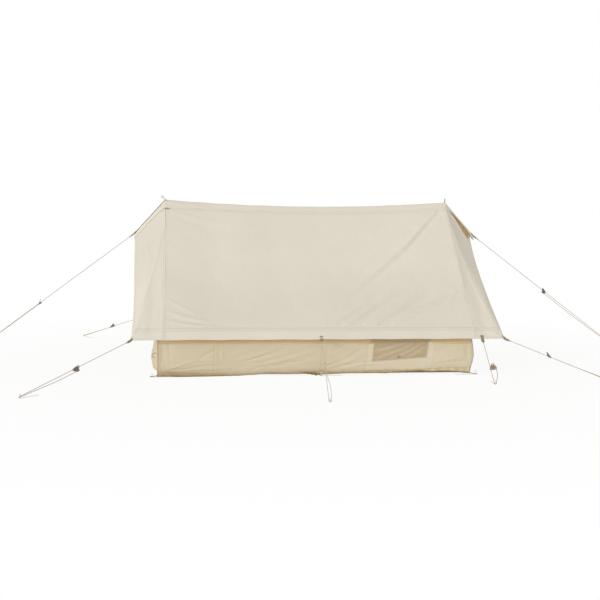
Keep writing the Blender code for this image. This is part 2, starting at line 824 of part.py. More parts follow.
def add_ring(pole, end):
    """Eye that leans outwards from the left pole's short spike."""
    root = Vector((end * pole_x, 0, ridge_height + seam + cap_drop + spike_out_left - 0.005))
    lean = Vector((end * math.sin(ring_lean), 0, math.cos(ring_lean)))
    level = Vector((0, 1, 0))
    stem = rod("ring_stem", ring_wire, ring_stem,
               matrix_of(level.cross(lean), level, lean, root + lean * ring_stem / 2))
    combine(pole, stem, "UNION")
    middle = root + lean * (ring_stem + ring_radius - ring_wire * 0.4)
    bpy.ops.mesh.primitive_torus_add(major_radius=ring_radius, minor_radius=ring_wire, major_segments=20,
                                     minor_segments=8, location=middle,
                                     rotation=(math.pi / 2, math.radians(7), 0))
    eye = bpy.context.object
    eye.name = "ring_eye"
    for group in list(eye.users_collection):
        group.objects.unlink(eye)
    cutters.objects.link(eye)
    hide(eye)
    combine(pole, eye, "UNION")


# Guylines, tensioners and pegs
def guy_frame(start, peg):
    """Where a guyline's main strand runs: its outer end at the webbing, its unit vectors, its length."""
    riser = Vector((peg[0], peg[1], loop_height))
    level_out = Vector((peg[0] - start[0], peg[1] - start[1], 0)).normalized()
    level_across = Vector((0, 0, 1)).cross(level_out)
    bend = riser - level_out * (peg_loop_radius - peg_wire - cord_radius - seam)
    finish_point = bend - level_across * peg_loop_radius
    ahead, across, above = frame_along(finish_point - Vector(start))
    exit_point = Vector(start) + ahead * (tab_length + seam)
    return exit_point, finish_point, ahead, across, above, level_out, level_across, bend


# Stations of the second strand: share of the way back from the peg to the tensioner, share of the strand gap
return_strand = [(0.04, 0.02), (0.16, 0.20), (0.32, 0.52), (0.48, 0.82), (0.60, 0.96), (0.70, 1.0), (0.86, 1.0)]


def strand_side(across, above, turn, share=1.0):
    """Direction from a guyline's first strand to its second one."""
    angle = math.radians(turn) * share
    return across * math.cos(angle) + above * math.sin(angle)


def guy_points(start, peg, to_plate, turn):
    """The cord's way: out of the webbing, to the peg, round its riser and back through the tensioner."""
    exit_point, finish_point, ahead, across, above, level_out, level_across, bend = guy_frame(start, peg)
    plate = Vector(start) + ahead * to_plate
    points = [exit_point + (finish_point - exit_point) * (k / 8) for k in range(9)]
    turns = 6
    for k in range(1, turns):
        angle = math.pi * k / turns
        points.append(bend + level_out * (peg_loop_radius * math.sin(angle))
                      - level_across * (peg_loop_radius * math.cos(angle)))
    back_start = bend + level_across * peg_loop_radius
    points.append(back_start)
    way = finish_point - plate
    for along, wide in return_strand:
        gap = mix(2 * peg_loop_radius, strand_gap, wide)
        points.append(finish_point - way * along + strand_side(across, above, turn, wide) * gap)
    side = strand_side(across, above, turn)
    points.append(plate + side * strand_gap)
    points.append(plate - ahead * cord_tail + side * strand_gap)
    return points


def rounded_triangle(side, corner):
    """A triangle with round corners, its base across and its top upwards, and the middles of the corners."""
    inner = side - 2 * corner * math.sqrt(3)
    centres = [(-inner / 2, 0), (inner / 2, 0), (0, inner * math.sqrt(3) / 2)]
    outline = []
    for (x, y), first in zip(centres, (150, 270, 30)):
        for k in range(5):
            angle = math.radians(first + 120 * k / 4)
            outline.append((x + corner * math.cos(angle), y + corner * math.sin(angle)))
    return outline, centres


def make_tensioner(name, start, peg, to_plate, turn):
    """A triangular plate on both strands, its base towards the peg."""
    _, _, ahead, across, above, _, _, _ = guy_frame(start, peg)
    plate = Vector(start) + ahead * to_plate
    outline, centres = rounded_triangle(strand_gap + 2 * plate_corner * math.sqrt(3), plate_corner)
    holes = []
    for x, y in ((-strand_gap / 2, 0), (strand_gap / 2, 0), centres[2]):
        holes.append([(x + plate_hole * math.cos(math.tau * k / 12), y + plate_hole * math.sin(math.tau * k / 12))
                      for k in range(12)])
    side = strand_side(across, above, turn)
    over = ahead.cross(side)
    up = (-ahead * math.cos(plate_angle) + over * math.sin(plate_angle)).normalized()
    place = matrix_of(side, up, side.cross(up), plate + side * strand_gap / 2)
    flat_panel(name, outline, plate_thick, place, looks["plate"], holes)


def peg_points(place, shank_out):
    """A wire peg that lies on the ground: its shank runs along shank_out from the riser of its hook."""
    low = peg_wire + peg_floor_gap
    base = Vector((place[0], place[1], 0))
    out = Vector((shank_out[0], shank_out[1], 0)).normalized()
    up = Vector((0, 0, 1))
    points = [base + out * peg_length + up * low, base + out * peg_length * 0.5 + up * low]
    for k in range(4):
        angle = math.pi / 2 * k / 3
        points.append(base + out * peg_bend * (1 - math.sin(angle)) + up * (low + peg_bend * (1 - math.cos(angle))))
    top = low + peg_riser
    for k in range(5):
        angle = math.pi * 0.85 * k / 4
        points.append(base + out * peg_bend * (1 - math.cos(angle)) + up * (top + peg_bend * math.sin(angle)))
    last = points[-1]
    points.append(last + (out * 0.35 - up).normalized() * (peg_return - peg_bend))
    return points


def make_guylines():
    for name, (start, peg, to_plate, turn, _) in guylines.items():
        short = name.replace("guyline_", "")
        tube(name, guy_points(start, peg, to_plate, turn), cord_radius, looks["cord"])
        make_tensioner(f"tensioner_{short}", start, peg, to_plate, turn)
        inwards = (start[0] - peg[0], start[1] - peg[1])
        tube(f"peg_{short}", peg_points(peg, inwards), peg_wire, looks["steel"])


def make_wall_pegs():
    for name, (edge, out) in wall_straps().items():
        inwards = -1 if edge.x > 0 else 1
        if edge.x == 0:
            inwards = 1
        tube(f"wall_peg_{name}", peg_points(strap_hole(edge, out), (inwards, 0)), peg_wire, looks["steel"])


def make_tabs():
    """Webbing ends sewn to the cloth, which pull it out to the guylines."""
    for name, (start, peg, _, _, carrier) in guylines.items():
        _, _, ahead, across, above, _, _, _ = guy_frame(start, peg)
        add_tab(name, start, ahead, across, above, carrier)
    for name, (start, peg, carrier) in spare_tabs.items():
        _, _, ahead, across, above, _, _, _ = guy_frame(start, peg)
        add_tab(name, start, ahead, across, above, carrier)


def add_tab(name, start, ahead, across, above, carrier):
    middle = Vector(start) + ahead * (tab_length - tab_inset) / 2
    size = (tab_length + tab_inset, tab_width, tab_thick)
    turn = matrix_of(ahead, across, above, middle)
    combine(bpy.data.objects[carrier], block(f"tab_{name}", size, turn, 0.0012), "UNION")


clear_scene()
tent = collection("family_tent")
cutters = collection("cutters")
used_looks = set()
looks = {
    "canvas": finish("canvas", (0.72, 0.67, 0.56), 0.9),
    "canvas_cap": finish("canvas_cap", (0.70, 0.66, 0.55), 0.9),
    "canvas_wall": finish("canvas_wall", (0.62, 0.53, 0.37), 0.9),
    "net": finish("net", (0.45, 0.30, 0.14), 0.95),
    "net_window": finish("net_window", (0.50, 0.41, 0.27), 0.95),
    "floor": finish("floor", (0.16, 0.10, 0.05), 0.7),
    "steel": finish("steel", (0.45, 0.44, 0.42), 0.35, 1.0),
    "rubber": finish("rubber", (0.03, 0.03, 0.03), 0.8),
    "cord": finish("cord", (0.62, 0.57, 0.48), 0.85),
    "plate": finish("plate", (0.06, 0.05, 0.035), 0.5),
    "zip": finish("zip", (0.45, 0.33, 0.15), 0.4, 1.0),
}
make_roof()
make_ridge_cap()
make_wings()
make_vent_nets()
make_side_walls()
make_end_panels()
make_doors()
make_floor()
make_poles()
make_guylines()
make_wall_pegs()
make_tabs()
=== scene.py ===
# Dresses the cotton ridge tent: cloth with its folds and seams, cords, webbing, zips, light and camera.
# All places are in metres, with the origin at the middle of the floor.

import math

import bmesh
import bpy
import numpy as np
from mathutils import Matrix, Vector


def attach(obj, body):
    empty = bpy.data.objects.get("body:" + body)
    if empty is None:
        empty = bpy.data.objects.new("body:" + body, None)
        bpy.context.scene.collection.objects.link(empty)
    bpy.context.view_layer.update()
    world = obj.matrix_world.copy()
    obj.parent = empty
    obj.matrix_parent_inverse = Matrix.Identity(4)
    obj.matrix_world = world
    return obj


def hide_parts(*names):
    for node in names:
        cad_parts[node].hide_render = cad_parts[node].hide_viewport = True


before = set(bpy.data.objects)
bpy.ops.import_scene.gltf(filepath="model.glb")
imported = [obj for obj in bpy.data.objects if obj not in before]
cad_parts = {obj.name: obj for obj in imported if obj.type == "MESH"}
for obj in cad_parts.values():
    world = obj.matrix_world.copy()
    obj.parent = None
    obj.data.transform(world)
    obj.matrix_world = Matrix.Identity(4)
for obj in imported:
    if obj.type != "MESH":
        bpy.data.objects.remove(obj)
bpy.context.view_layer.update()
pi = math.pi

# Main form of the tent
tentShape = {
    "length": 2.65, "width": 2.10, "ridgeHeight": 1.49, "wallHeight": 0.414, "ridgeSag": 0.052,
    "slopeHollow": 0.012, "eaveReach": 0.098, "tipReach": 0.283, "cornerReach": 0.244,
    "tipHeight": 1.177, "doorOut": 0.021, "poleInset": 0.022, "floorSkew": -0.033, "leanStart": 0.050,
    "leanStop": 0.29875, "clothThick": 0.0014, "seamGap": 0.0003,
}
halfLength = tentShape["length"] / 2
halfWidth = tentShape["width"] / 2
ridgeHeight = tentShape["ridgeHeight"]
wallHeight = tentShape["wallHeight"]
slope = (ridgeHeight - wallHeight) / halfWidth
eaveHalf = halfWidth + tentShape["eaveReach"]
eaveHeight = wallHeight - slope * tentShape["eaveReach"]
tipX = halfLength + tentShape["tipReach"]
cornerX = halfLength + tentShape["cornerReach"]
clothDrop = 0.003 * math.hypot(1, slope)
capDrop = 0.002 * math.hypot(1, slope)
doorX = halfLength + tentShape["doorOut"]
seamGap = tentShape["seamGap"]
wallTop = wallHeight - clothDrop - seamGap
floorTop = 0.0023
endSign = {"left": -1, "right": 1}
sideSign = {"near": -1, "far": 1}
steep = math.hypot(1, slope)
# directions square to both roof slopes
slopeOut = {side: np.array([0, sign * slope / steep, 1 / steep]) for side, sign in sideSign.items()}

# Camera, fitted to the photograph
cameraFit = {
    "place": (-1.05509, -9.22836, 1.21795), "yaw": 0.107431, "pitch": -0.070645, "roll": 0.007011,
    "lens": 58.9732,
}


def makeCamera(fit):
    yaw, pitch, roll = fit["yaw"], fit["pitch"], fit["roll"]
    ahead = Vector((math.sin(yaw) * math.cos(pitch), math.cos(yaw) * math.cos(pitch), math.sin(pitch)))
    level = Vector((math.cos(yaw), -math.sin(yaw), 0))
    upright = level.cross(ahead)
    right = level * math.cos(roll) + upright * math.sin(roll)
    up = upright * math.cos(roll) - level * math.sin(roll)
    data = bpy.data.cameras.new("camera")
    data.lens = fit["lens"]
    data.sensor_width = 36
    data.sensor_fit = "HORIZONTAL"
    data.clip_start, data.clip_end = 0.05, 200
    camera = bpy.data.objects.new("camera", data)
    bpy.context.scene.collection.objects.link(camera)
    turn = Matrix((right, up, -ahead)).transposed().to_4x4()
    turn.translation = Vector(fit["place"])
    camera.matrix_world = turn
    bpy.context.scene.camera = camera


makeCamera(cameraFit)
print("camera placed")


# Shader parts that several finishes share
def newGroup(name, inputs, outputs):
    group = bpy.data.node_groups.new(name, "ShaderNodeTree")
    for label, kind, value in inputs:
        socket = group.interface.new_socket(name=label, in_out="INPUT", socket_type=kind)
        if value is not None:
            socket.default_value = value
    for label, kind in outputs:
        group.interface.new_socket(name=label, in_out="OUTPUT", socket_type=kind)
    return group, group.nodes.new("NodeGroupInput"), group.nodes.new("NodeGroupOutput")


def mathNode(tree, operation, first, second=None, third=None, clamp=False):
    node = tree.nodes.new("ShaderNodeMath")
    node.operation = operation
    node.use_clamp = clamp
    for socket, value in zip(node.inputs, (first, second, third)):
        if value is None:
            continue
        if isinstance(value, (int, float)):
            socket.default_value = value
        else:
            tree.links.new(value, socket)
    return node.outputs[0]


def noiseNode(tree, place, scale, detail=3.0, roughness=0.5, stretch=None):
    if stretch:
        mapping = tree.nodes.new("ShaderNodeMapping")
        mapping.inputs["Scale"].default_value = stretch
        tree.links.new(place, mapping.inputs["Vector"])
        place = mapping.outputs[0]
    node = tree.nodes.new("ShaderNodeTexNoise")
    node.inputs["Detail"].default_value = detail
    node.inputs["Roughness"].default_value = roughness
    if isinstance(scale, (int, float)):
        node.inputs["Scale"].default_value = scale
    else:
        tree.links.new(scale, node.inputs["Scale"])
    tree.links.new(place, node.inputs["Vector"])
    return node.outputs["Fac"]


def spanNode(tree, value, fromLow, fromHigh, toLow, toHigh):
    node = tree.nodes.new("ShaderNodeMapRange")
    node.inputs["From Min"].default_value = fromLow
    node.inputs["From Max"].default_value = fromHigh
    for label, target in (("To Min", toLow), ("To Max", toHigh)):
        if isinstance(target, (int, float)):
            node.inputs[label].default_value = target
        else:
            tree.links.new(target, node.inputs[label])
    tree.links.new(value, node.inputs["Value"])
    return node.outputs[0]


def mixColour(tree, share, first, second):
    node = tree.nodes.new("ShaderNodeMix")
    node.data_type = "RGBA"
    for socket, value in ((node.inputs[0], share), (node.inputs[6], first), (node.inputs[7], second)):
        if isinstance(value, (int, float)):
            socket.default_value = value
        elif isinstance(value, (tuple, list)):
            socket.default_value = (*value[:3], 1)
        else:
            tree.links.new(value, socket)
    return node.outputs[2]


def splitPlace(tree, place):
    node = tree.nodes.new("ShaderNodeSeparateXYZ")
    tree.links.new(place, node.inputs[0])
    return node.outputs


def buildWeaveGroup():
    # Plain weave of warp and weft with thicker threads here and there
    group, start, end = newGroup("clothWeave", [
        ("Place", "NodeSocketVector", None), ("Threads", "NodeSocketFloat", 700.0), ("Slub", "NodeSocketFloat", 0.5),
    ], [("Height", "NodeSocketFloat"), ("Tone", "NodeSocketFloat")])
    parts = splitPlace(group, start.outputs["Place"])
    turns = mathNode(group, "MULTIPLY", start.outputs["Threads"], pi)
    across = mathNode(group, "SINE", mathNode(group, "MULTIPLY", parts["X"], turns))
    down = mathNode(group, "SINE", mathNode(group, "MULTIPLY", parts["Y"], turns))
    weave = mathNode(group, "MULTIPLY", across, down)
    warp = noiseNode(group, start.outputs["Place"], 1.0, 2.0, 0.6, (420.0, 9.0, 1.0))
    weft = noiseNode(group, start.outputs["Place"], 1.0, 2.0, 0.6, (9.0, 420.0, 1.0))
    slubs = mathNode(group, "ADD", warp, weft)
    uneven = mathNode(group, "MULTIPLY", mathNode(group, "SUBTRACT", slubs, 1.0), start.outputs["Slub"])
    group.links.new(mathNode(group, "MULTIPLY_ADD", weave, 0.3, uneven), end.inputs["Height"])
    group.links.new(mathNode(group, "ADD", uneven, 0.5, clamp=True), end.inputs["Tone"])
    return group


def buildMottleGroup():
    # Broad clouding of undyed or sun-worn cloth, with a finer speckle in it
    group, start, end = newGroup("clothMottle", [
        ("Place", "NodeSocketVector", None), ("Size", "NodeSocketFloat", 2.0), ("Fine", "NodeSocketFloat", 40.0),
    ], [("Cloud", "NodeSocketFloat"), ("Speck", "NodeSocketFloat")])
    cloud = noiseNode(group, start.outputs["Place"], start.outputs["Size"], 4.0, 0.6)
    speck = noiseNode(group, start.outputs["Place"], start.outputs["Fine"], 3.0, 0.7)
    group.links.new(spanNode(group, cloud, 0.3, 0.7, 0.0, 1.0), end.inputs["Cloud"])
    group.links.new(spanNode(group, speck, 0.3, 0.7, 0.0, 1.0), end.inputs["Speck"])
    return group


def buildStitchGroup():
    # One row of stitches: a dash of thread, a hole and the groove that the row pulls into the cloth
    group, start, end = newGroup("stitchRow", [
        ("Along", "NodeSocketFloat", None), ("Aside", "NodeSocketFloat", None),
        ("Pitch", "NodeSocketFloat", 0.005), ("Width", "NodeSocketFloat", 0.0012),
    ], [("Thread", "NodeSocketFloat"), ("Groove", "NodeSocketFloat")])
    beat = mathNode(group, "FRACT", mathNode(group, "DIVIDE", start.outputs["Along"], start.outputs["Pitch"]))
    dash = spanNode(group, mathNode(group, "ABSOLUTE", mathNode(group, "SUBTRACT", beat, 0.5)), 0.30, 0.40, 1.0, 0.0)
    aside = mathNode(group, "DIVIDE", mathNode(group, "ABSOLUTE", start.outputs["Aside"]), start.outputs["Width"])
    row = spanNode(group, aside, 0.5, 1.0, 1.0, 0.0)
    group.links.new(mathNode(group, "MULTIPLY", dash, row), end.inputs["Thread"])
    group.links.new(spanNode(group, aside, 0.6, 4.0, 1.0, 0.0), end.inputs["Groove"])
    return group


def buildWearGroup():
    # Scratches, handling marks and dust on hard parts
    group, start, end = newGroup("hardWear", [
        ("Place", "NodeSocketVector", None), ("Scale", "NodeSocketFloat", 60.0), ("Dust", "NodeSocketFloat", 0.3),
    ], [("Marks", "NodeSocketFloat"), ("Dusty", "NodeSocketFloat"), ("Height", "NodeSocketFloat")])
    marks = noiseNode(group, start.outputs["Place"], start.outputs["Scale"], 6.0, 0.65)
    scratch = noiseNode(group, start.outputs["Place"], 1.0, 3.0, 0.7, (900.0, 900.0, 35.0))
    group.links.new(spanNode(group, marks, 0.42, 0.68, 0.0, 1.0), end.inputs["Marks"])
    dusty = mathNode(group, "MULTIPLY", spanNode(group, marks, 0.35, 0.6, 1.0, 0.0), start.outputs["Dust"])
    group.links.new(dusty, end.inputs["Dusty"])
    group.links.new(scratch, end.inputs["Height"])
    return group


weaveGroup = buildWeaveGroup()
mottleGroup = buildMottleGroup()
stitchGroup = buildStitchGroup()
wearGroup = buildWearGroup()


def placeGroup(tree, group, **values):
    node = tree.nodes.new("ShaderNodeGroup")
    node.node_tree = group
    for label, value in values.items():
        if isinstance(value, (int, float)):
            node.inputs[label].default_value = value
        else:
            tree.links.new(value, node.inputs[label])
    return node.outputs


def newFinish(name, roughness, **plain):
    finish = bpy.data.materials.new(name)
    finish.use_nodes = True
    shader = finish.node_tree.nodes["Principled BSDF"]
    shader.inputs["Roughness"].default_value = roughness
    for label, value in plain.items():
        shader.inputs[label.replace("_", " ")].default_value = value
    return finish, finish.node_tree, shader


def clothPlace(tree):
    node = tree.nodes.new("ShaderNodeAttribute")
    node.attribute_name = "clothPlace"
    return node.outputs["Vector"]


def clothTone(tree):
    node = tree.nodes.new("ShaderNodeAttribute")
    node.attribute_name = "clothTone"
    return node.outputs["Fac"]


def bodyPlace(tree):
    return tree.nodes.new("ShaderNodeTexCoord").outputs["Object"]


def mottled(tree, size, fine):
    return placeGroup(tree, mottleGroup, Place=bodyPlace(tree), Size=size, Fine=fine)


def bumpNode(tree, shader, height, strength, distance):
    node = tree.nodes.new("ShaderNodeBump")
    node.inputs["Strength"].default_value = strength
    node.inputs["Distance"].default_value = distance
    tree.links.new(height, node.inputs["Height"])
    tree.links.new(node.outputs[0], shader.inputs["Normal"])


canvasLook = {"threads": 620.0, "slub": 0.6, "cloudSize": 1.6, "speckSize": 45.0, "crumple": 2.1, "bump": 0.35}


def canvasFinish(name, pale, deep, thread=(0.80, 0.75, 0.64), rows=()):
    # rows are the lines of stitching along a strip, each by its distance from the strip's middle
    finish, tree, shader = newFinish(name, 0.92, Sheen_Weight=0.12, Sheen_Roughness=0.5, Specular_IOR_Level=0.2)
    place = clothPlace(tree)
    weave = placeGroup(tree, weaveGroup, Place=place, Threads=canvasLook["threads"], Slub=canvasLook["slub"])
    mottle = mottled(tree, canvasLook["cloudSize"], canvasLook["speckSize"])
    colour = mixColour(tree, mottle["Cloud"], pale, deep)
    toned = mathNode(tree, "MULTIPLY", weave["Tone"], 0.10)
    colour = mixColour(tree, toned, colour, [value * 0.62 for value in deep])
    colour = mixColour(tree, mathNode(tree, "MULTIPLY", mottle["Speck"], 0.05), colour, thread)
    # the tone attribute lightens or darkens the cloth: it carries paler doubled cloth and dark seams, and also painted
    # shade and painted highlights
    tone = clothTone(tree)
    lighter = spanNode(tree, tone, 0.0, 1.0, 0.0, 0.5)
    darker = spanNode(tree, tone, 0.0, -1.0, 0.0, 0.5)
    colour = mixColour(tree, lighter, colour, [value ** 0.6 for value in pale])
    colour = mixColour(tree, darker, colour, [value * 0.45 for value in deep])
    height = weave["Height"]
    parts = splitPlace(tree, place) if rows else None
    for level in rows:
        aside = mathNode(tree, "SUBTRACT", parts["Y"], level)
        row = placeGroup(tree, stitchGroup, Along=parts["X"], Aside=aside, Pitch=0.006, Width=0.0016)
        # the groove is painted darker too: painted shade in the pucker that the row pulls in
        colour = mixColour(tree, mathNode(tree, "MULTIPLY", row["Groove"], 0.35), colour,
                           [value * 0.72 for value in deep])
        colour = mixColour(tree, mathNode(tree, "MULTIPLY", row["Thread"], 0.8), colour, thread)
        height = mathNode(tree, "SUBTRACT", height, mathNode(tree, "MULTIPLY", row["Groove"], 1.6))
    tree.links.new(colour, shader.inputs["Base Color"])
    tree.links.new(spanNode(tree, mottle["Speck"], 0.0, 1.0, 0.86, 0.97), shader.inputs["Roughness"])
    # fine crumpling of the cloth, too small to be modelled
    crumple = noiseNode(tree, place, 1.0, 3.0, 0.55, (26.0, 34.0, 1.0))
    height = mathNode(tree, "MULTIPLY_ADD", crumple, canvasLook["crumple"], height)
    bumpNode(tree, shader, height, canvasLook["bump"], 0.0006)
    return finish


def netFinish(name, colour, dark, mesh, wire, seeThrough):
    # Threads with open squares between them
    finish, tree, shader = newFinish(name, 0.85)
    parts = splitPlace(tree, clothPlace(tree))
    gaps = []
    for axis in ("X", "Y"):
        beat = mathNode(tree, "FRACT", mathNode(tree, "DIVIDE", parts[axis], mesh))
        away = mathNode(tree, "ABSOLUTE", mathNode(tree, "SUBTRACT", beat, 0.5))
        gaps.append(spanNode(tree, away, 0.5 - wire, 0.5 - wire * 0.6, 1.0, 0.0))
    holes = mathNode(tree, "MULTIPLY", *gaps)
    mottle = mottled(tree, 9.0, 160.0)
    shade = mixColour(tree, mottle["Cloud"], colour, dark)
    shade = mixColour(tree, mathNode(tree, "MULTIPLY", mottle["Speck"], 0.3), shade, dark)
    # painted paler where the cloth behind presses against it: a painted light for the lit cloth showing through
    shade = mixColour(tree, mathNode(tree, "MULTIPLY", clothTone(tree), 0.6), shade,
                      [value ** 0.55 for value in colour])
    tree.links.new(shade, shader.inputs["Base Color"])
    tree.links.new(spanNode(tree, holes, 0.0, 1.0, 1.0, seeThrough), shader.inputs["Alpha"])
    bumpNode(tree, shader, holes, 0.4, -0.0006)
    return finish


def webbingFinish(name, colour, dark):
    # Ribbed webbing, clouded, with darker stripes along its ribs
    finish, tree, shader = newFinish(name, 0.85)
    parts = splitPlace(tree, clothPlace(tree))
    ribs = mathNode(tree, "SINE", mathNode(tree, "MULTIPLY", parts["X"], 2 * pi / 0.0022))
    twill = mathNode(tree, "SINE", mathNode(tree, "MULTIPLY", parts["Y"], 2 * pi / 0.0030))
    mottle = mottled(tree, 30.0, 240.0)
    shade = mixColour(tree, mottle["Cloud"], colour, dark)
    shade = mixColour(tree, spanNode(tree, ribs, -1.0, 1.0, 0.0, 0.35), shade, dark)
    tree.links.new(shade, shader.inputs["Base Color"])
    bumpNode(tree, shader, mathNode(tree, "ADD", ribs, mathNode(tree, "MULTIPLY", twill, 0.5)), 0.5, 0.0005)
    return finish


def cordFinish(name, colour, dark):
    # Laid cord: strands that wind round it, with a darker fleck
    finish, tree, shader = newFinish(name, 0.9)
    mottle = mottled(tree, 25.0, 420.0)
    wave = tree.nodes.new("ShaderNodeTexWave")
    wave.wave_type = "BANDS"
    wave.bands_direction = "DIAGONAL"
    wave.inputs["Scale"].default_value = 85.0
    wave.inputs["Distortion"].default_value = 1.5
    wave.inputs["Detail"].default_value = 1.0
    tree.links.new(bodyPlace(tree), wave.inputs["Vector"])
    shade = mixColour(tree, mottle["Cloud"], colour, dark)
    shade = mixColour(tree, mathNode(tree, "MULTIPLY", wave.outputs["Fac"], 0.15), shade, dark)
    tree.links.new(shade, shader.inputs["Base Color"])
    bumpNode(tree, shader, mathNode(tree, "ADD", wave.outputs["Fac"], mottle["Speck"]), 0.35, 0.0004)
    return finish


def sheetingFinish(name, colour, dark, dust, foot=None):
    # Coated groundsheet: faint weave, creases and dust
    finish, tree, shader = newFinish(name, 0.6)
    weave = placeGroup(tree, weaveGroup, Place=clothPlace(tree), Threads=420.0, Slub=0.2)
    mottle = mottled(tree, 7.0, 70.0)
    shade = mixColour(tree, mottle["Cloud"], colour, dark)
    shade = mixColour(tree, mathNode(tree, "MULTIPLY", mottle["Speck"], 0.25), shade, dust)
    if foot:
        # painted shade: darker towards the ground, with an uneven border
        height = splitPlace(tree, clothPlace(tree))["Y"]
        uneven = mathNode(tree, "MULTIPLY_ADD", mottle["Speck"], 0.016, height)
        shade = mixColour(tree, spanNode(tree, uneven, 0.006, 0.030, 1.0, 0.0), shade, foot)
        shade = mixColour(tree, mathNode(tree, "MULTIPLY", clothTone(tree), 0.9), shade, dust)
    tree.links.new(shade, shader.inputs["Base Color"])
    tree.links.new(spanNode(tree, mottle["Speck"], 0.0, 1.0, 0.5, 0.8), shader.inputs["Roughness"])
    bumpNode(tree, shader, mathNode(tree, "ADD", weave["Height"], mathNode(tree, "MULTIPLY", mottle["Speck"], 1.5)),
             0.4, 0.0006)
    return finish


def metalFinish(name, colour, worn, roughness, metallic=1.0, scale=60.0):
    finish, tree, shader = newFinish(name, roughness)
    wear = placeGroup(tree, wearGroup, Place=bodyPlace(tree), Scale=scale, Dust=0.25)
    shade = mixColour(tree, wear["Marks"], colour, worn)
    shade = mixColour(tree, wear["Dusty"], shade, (0.42, 0.38, 0.32))
    tree.links.new(shade, shader.inputs["Base Color"])
    tree.links.new(spanNode(tree, wear["Marks"], 0.0, 1.0, roughness - 0.08, roughness + 0.22),
                   shader.inputs["Roughness"])
    tree.links.new(spanNode(tree, wear["Dusty"], 0.0, 0.3, metallic, metallic * 0.75), shader.inputs["Metallic"])
    bumpNode(tree, shader, wear["Height"], 0.25, 0.0002)
    return finish


def mouldedFinish(name, colour, worn, roughness):
    finish, tree, shader = newFinish(name, roughness)
    wear = placeGroup(tree, wearGroup, Place=bodyPlace(tree), Scale=140.0, Dust=0.35)
    shade = mixColour(tree, mathNode(tree, "MULTIPLY", wear["Marks"], 0.6), colour, worn)
    shade = mixColour(tree, wear["Dusty"], shade, (0.34, 0.30, 0.24))
    tree.links.new(shade, shader.inputs["Base Color"])
    tree.links.new(spanNode(tree, wear["Marks"], 0.0, 1.0, roughness, roughness + 0.2), shader.inputs["Roughness"])
    bumpNode(tree, shader, wear["Height"], 0.3, 0.0003)
    return finish


# Colours, linear
cottonPale, cottonDeep = (0.800, 0.766, 0.680), (0.768, 0.730, 0.640)
wallPale, wallDeep, wallThread = (0.715, 0.638, 0.480), (0.678, 0.597, 0.438), (0.72, 0.63, 0.45)
finishes = {
    "roof": canvasFinish("cottonRoof", cottonPale, cottonDeep),
    "wing": canvasFinish("cottonWing", cottonPale, cottonDeep),
    "cap": canvasFinish("cottonCap", (0.800, 0.762, 0.672), (0.765, 0.722, 0.628)),
    "wall": canvasFinish("cottonWall", wallPale, wallDeep, thread=wallThread),
    "door": canvasFinish("cottonDoor", wallPale, wallDeep, thread=wallThread),
    "tape": canvasFinish("cottonTape", (0.81, 0.77, 0.685), (0.77, 0.725, 0.635), rows=(-0.0045, 0.0045)),
    "wallTape": canvasFinish("cottonWallTape", (0.70, 0.615, 0.455), (0.65, 0.56, 0.40), thread=wallThread,
                             rows=(-0.0045, 0.0045)),
    "hem": canvasFinish("cottonHem", (0.81, 0.772, 0.69), (0.78, 0.738, 0.652), rows=(-0.004,)),
    # warm tan for the painted shade under the eave
    "eaveShadeBand": canvasFinish("eaveShadeTan", (0.82, 0.63, 0.37), (0.76, 0.57, 0.32), thread=(0.72, 0.60, 0.42)),
    "piping": canvasFinish("cottonPiping", (0.50, 0.37, 0.21), (0.42, 0.30, 0.165), thread=(0.50, 0.38, 0.24)),
    # dark brown cloth for the painted shade in a gap
    "gapShade": canvasFinish("cottonShaded", (0.34, 0.21, 0.11), (0.25, 0.15, 0.08), thread=(0.40, 0.28, 0.16)),
    # the vent nets are coloured a warm brown that is painted shade: the shaded inside of the tent behind them
    "ventNet": netFinish("ventNet", (0.66, 0.44, 0.18), (0.42, 0.24, 0.08), 0.0036, 0.30, 0.30),
    "windowNet": netFinish("windowNet", (0.62, 0.505, 0.325), (0.565, 0.445, 0.275), 0.0020, 0.30, 0.45),
    "webbing": webbingFinish("webbingGrey", (0.37, 0.32, 0.225), (0.26, 0.22, 0.145)),
    "strap": webbingFinish("webbingPale", (0.42, 0.35, 0.25), (0.30, 0.24, 0.16)),
    "cord": cordFinish("laidCord", (0.41, 0.29, 0.125), (0.29, 0.20, 0.08)),
    "darkStrapAndShade": webbingFinish("oliveWebbingAndShade", (0.34, 0.23, 0.10), (0.20, 0.13, 0.05)),
    "cordPale": cordFinish("laidCordPale", (0.60, 0.53, 0.41), (0.50, 0.43, 0.32)),
    "floor": sheetingFinish("groundsheetBrown", (0.36, 0.215, 0.085), (0.25, 0.14, 0.05), (0.48, 0.36, 0.21)),
    "steel": metalFinish("zincTube", (0.15, 0.14, 0.12), (0.10, 0.092, 0.08), 0.52, metallic=0.45),
    "peg": metalFinish("zincWire", (0.80, 0.79, 0.76), (0.66, 0.63, 0.58), 0.34, scale=220.0),
    "brass": metalFinish("wornBrass", (0.52, 0.38, 0.16), (0.33, 0.22, 0.10), 0.38, scale=260.0),
    "plate": mouldedFinish("plateDark", (0.055, 0.042, 0.030), (0.16, 0.125, 0.09), 0.5),
    "platePale": mouldedFinish("platePale", (0.54, 0.47, 0.355), (0.62, 0.56, 0.45), 0.5),
    "plateBrown": mouldedFinish("plateBrown", (0.21, 0.165, 0.105), (0.33, 0.27, 0.19), 0.5),
    "rubber": mouldedFinish("rubberFoot", (0.022, 0.021, 0.020), (0.07, 0.065, 0.06), 0.72),
}
print("finishes made:", len(finishes))


# Makers of plain pieces
def unit(vector):
    vector = np.asarray(vector, float)
    return vector / max(float(np.linalg.norm(vector)), 1e-12)


def mix(first, second, share):
    return first + (second - first) * share


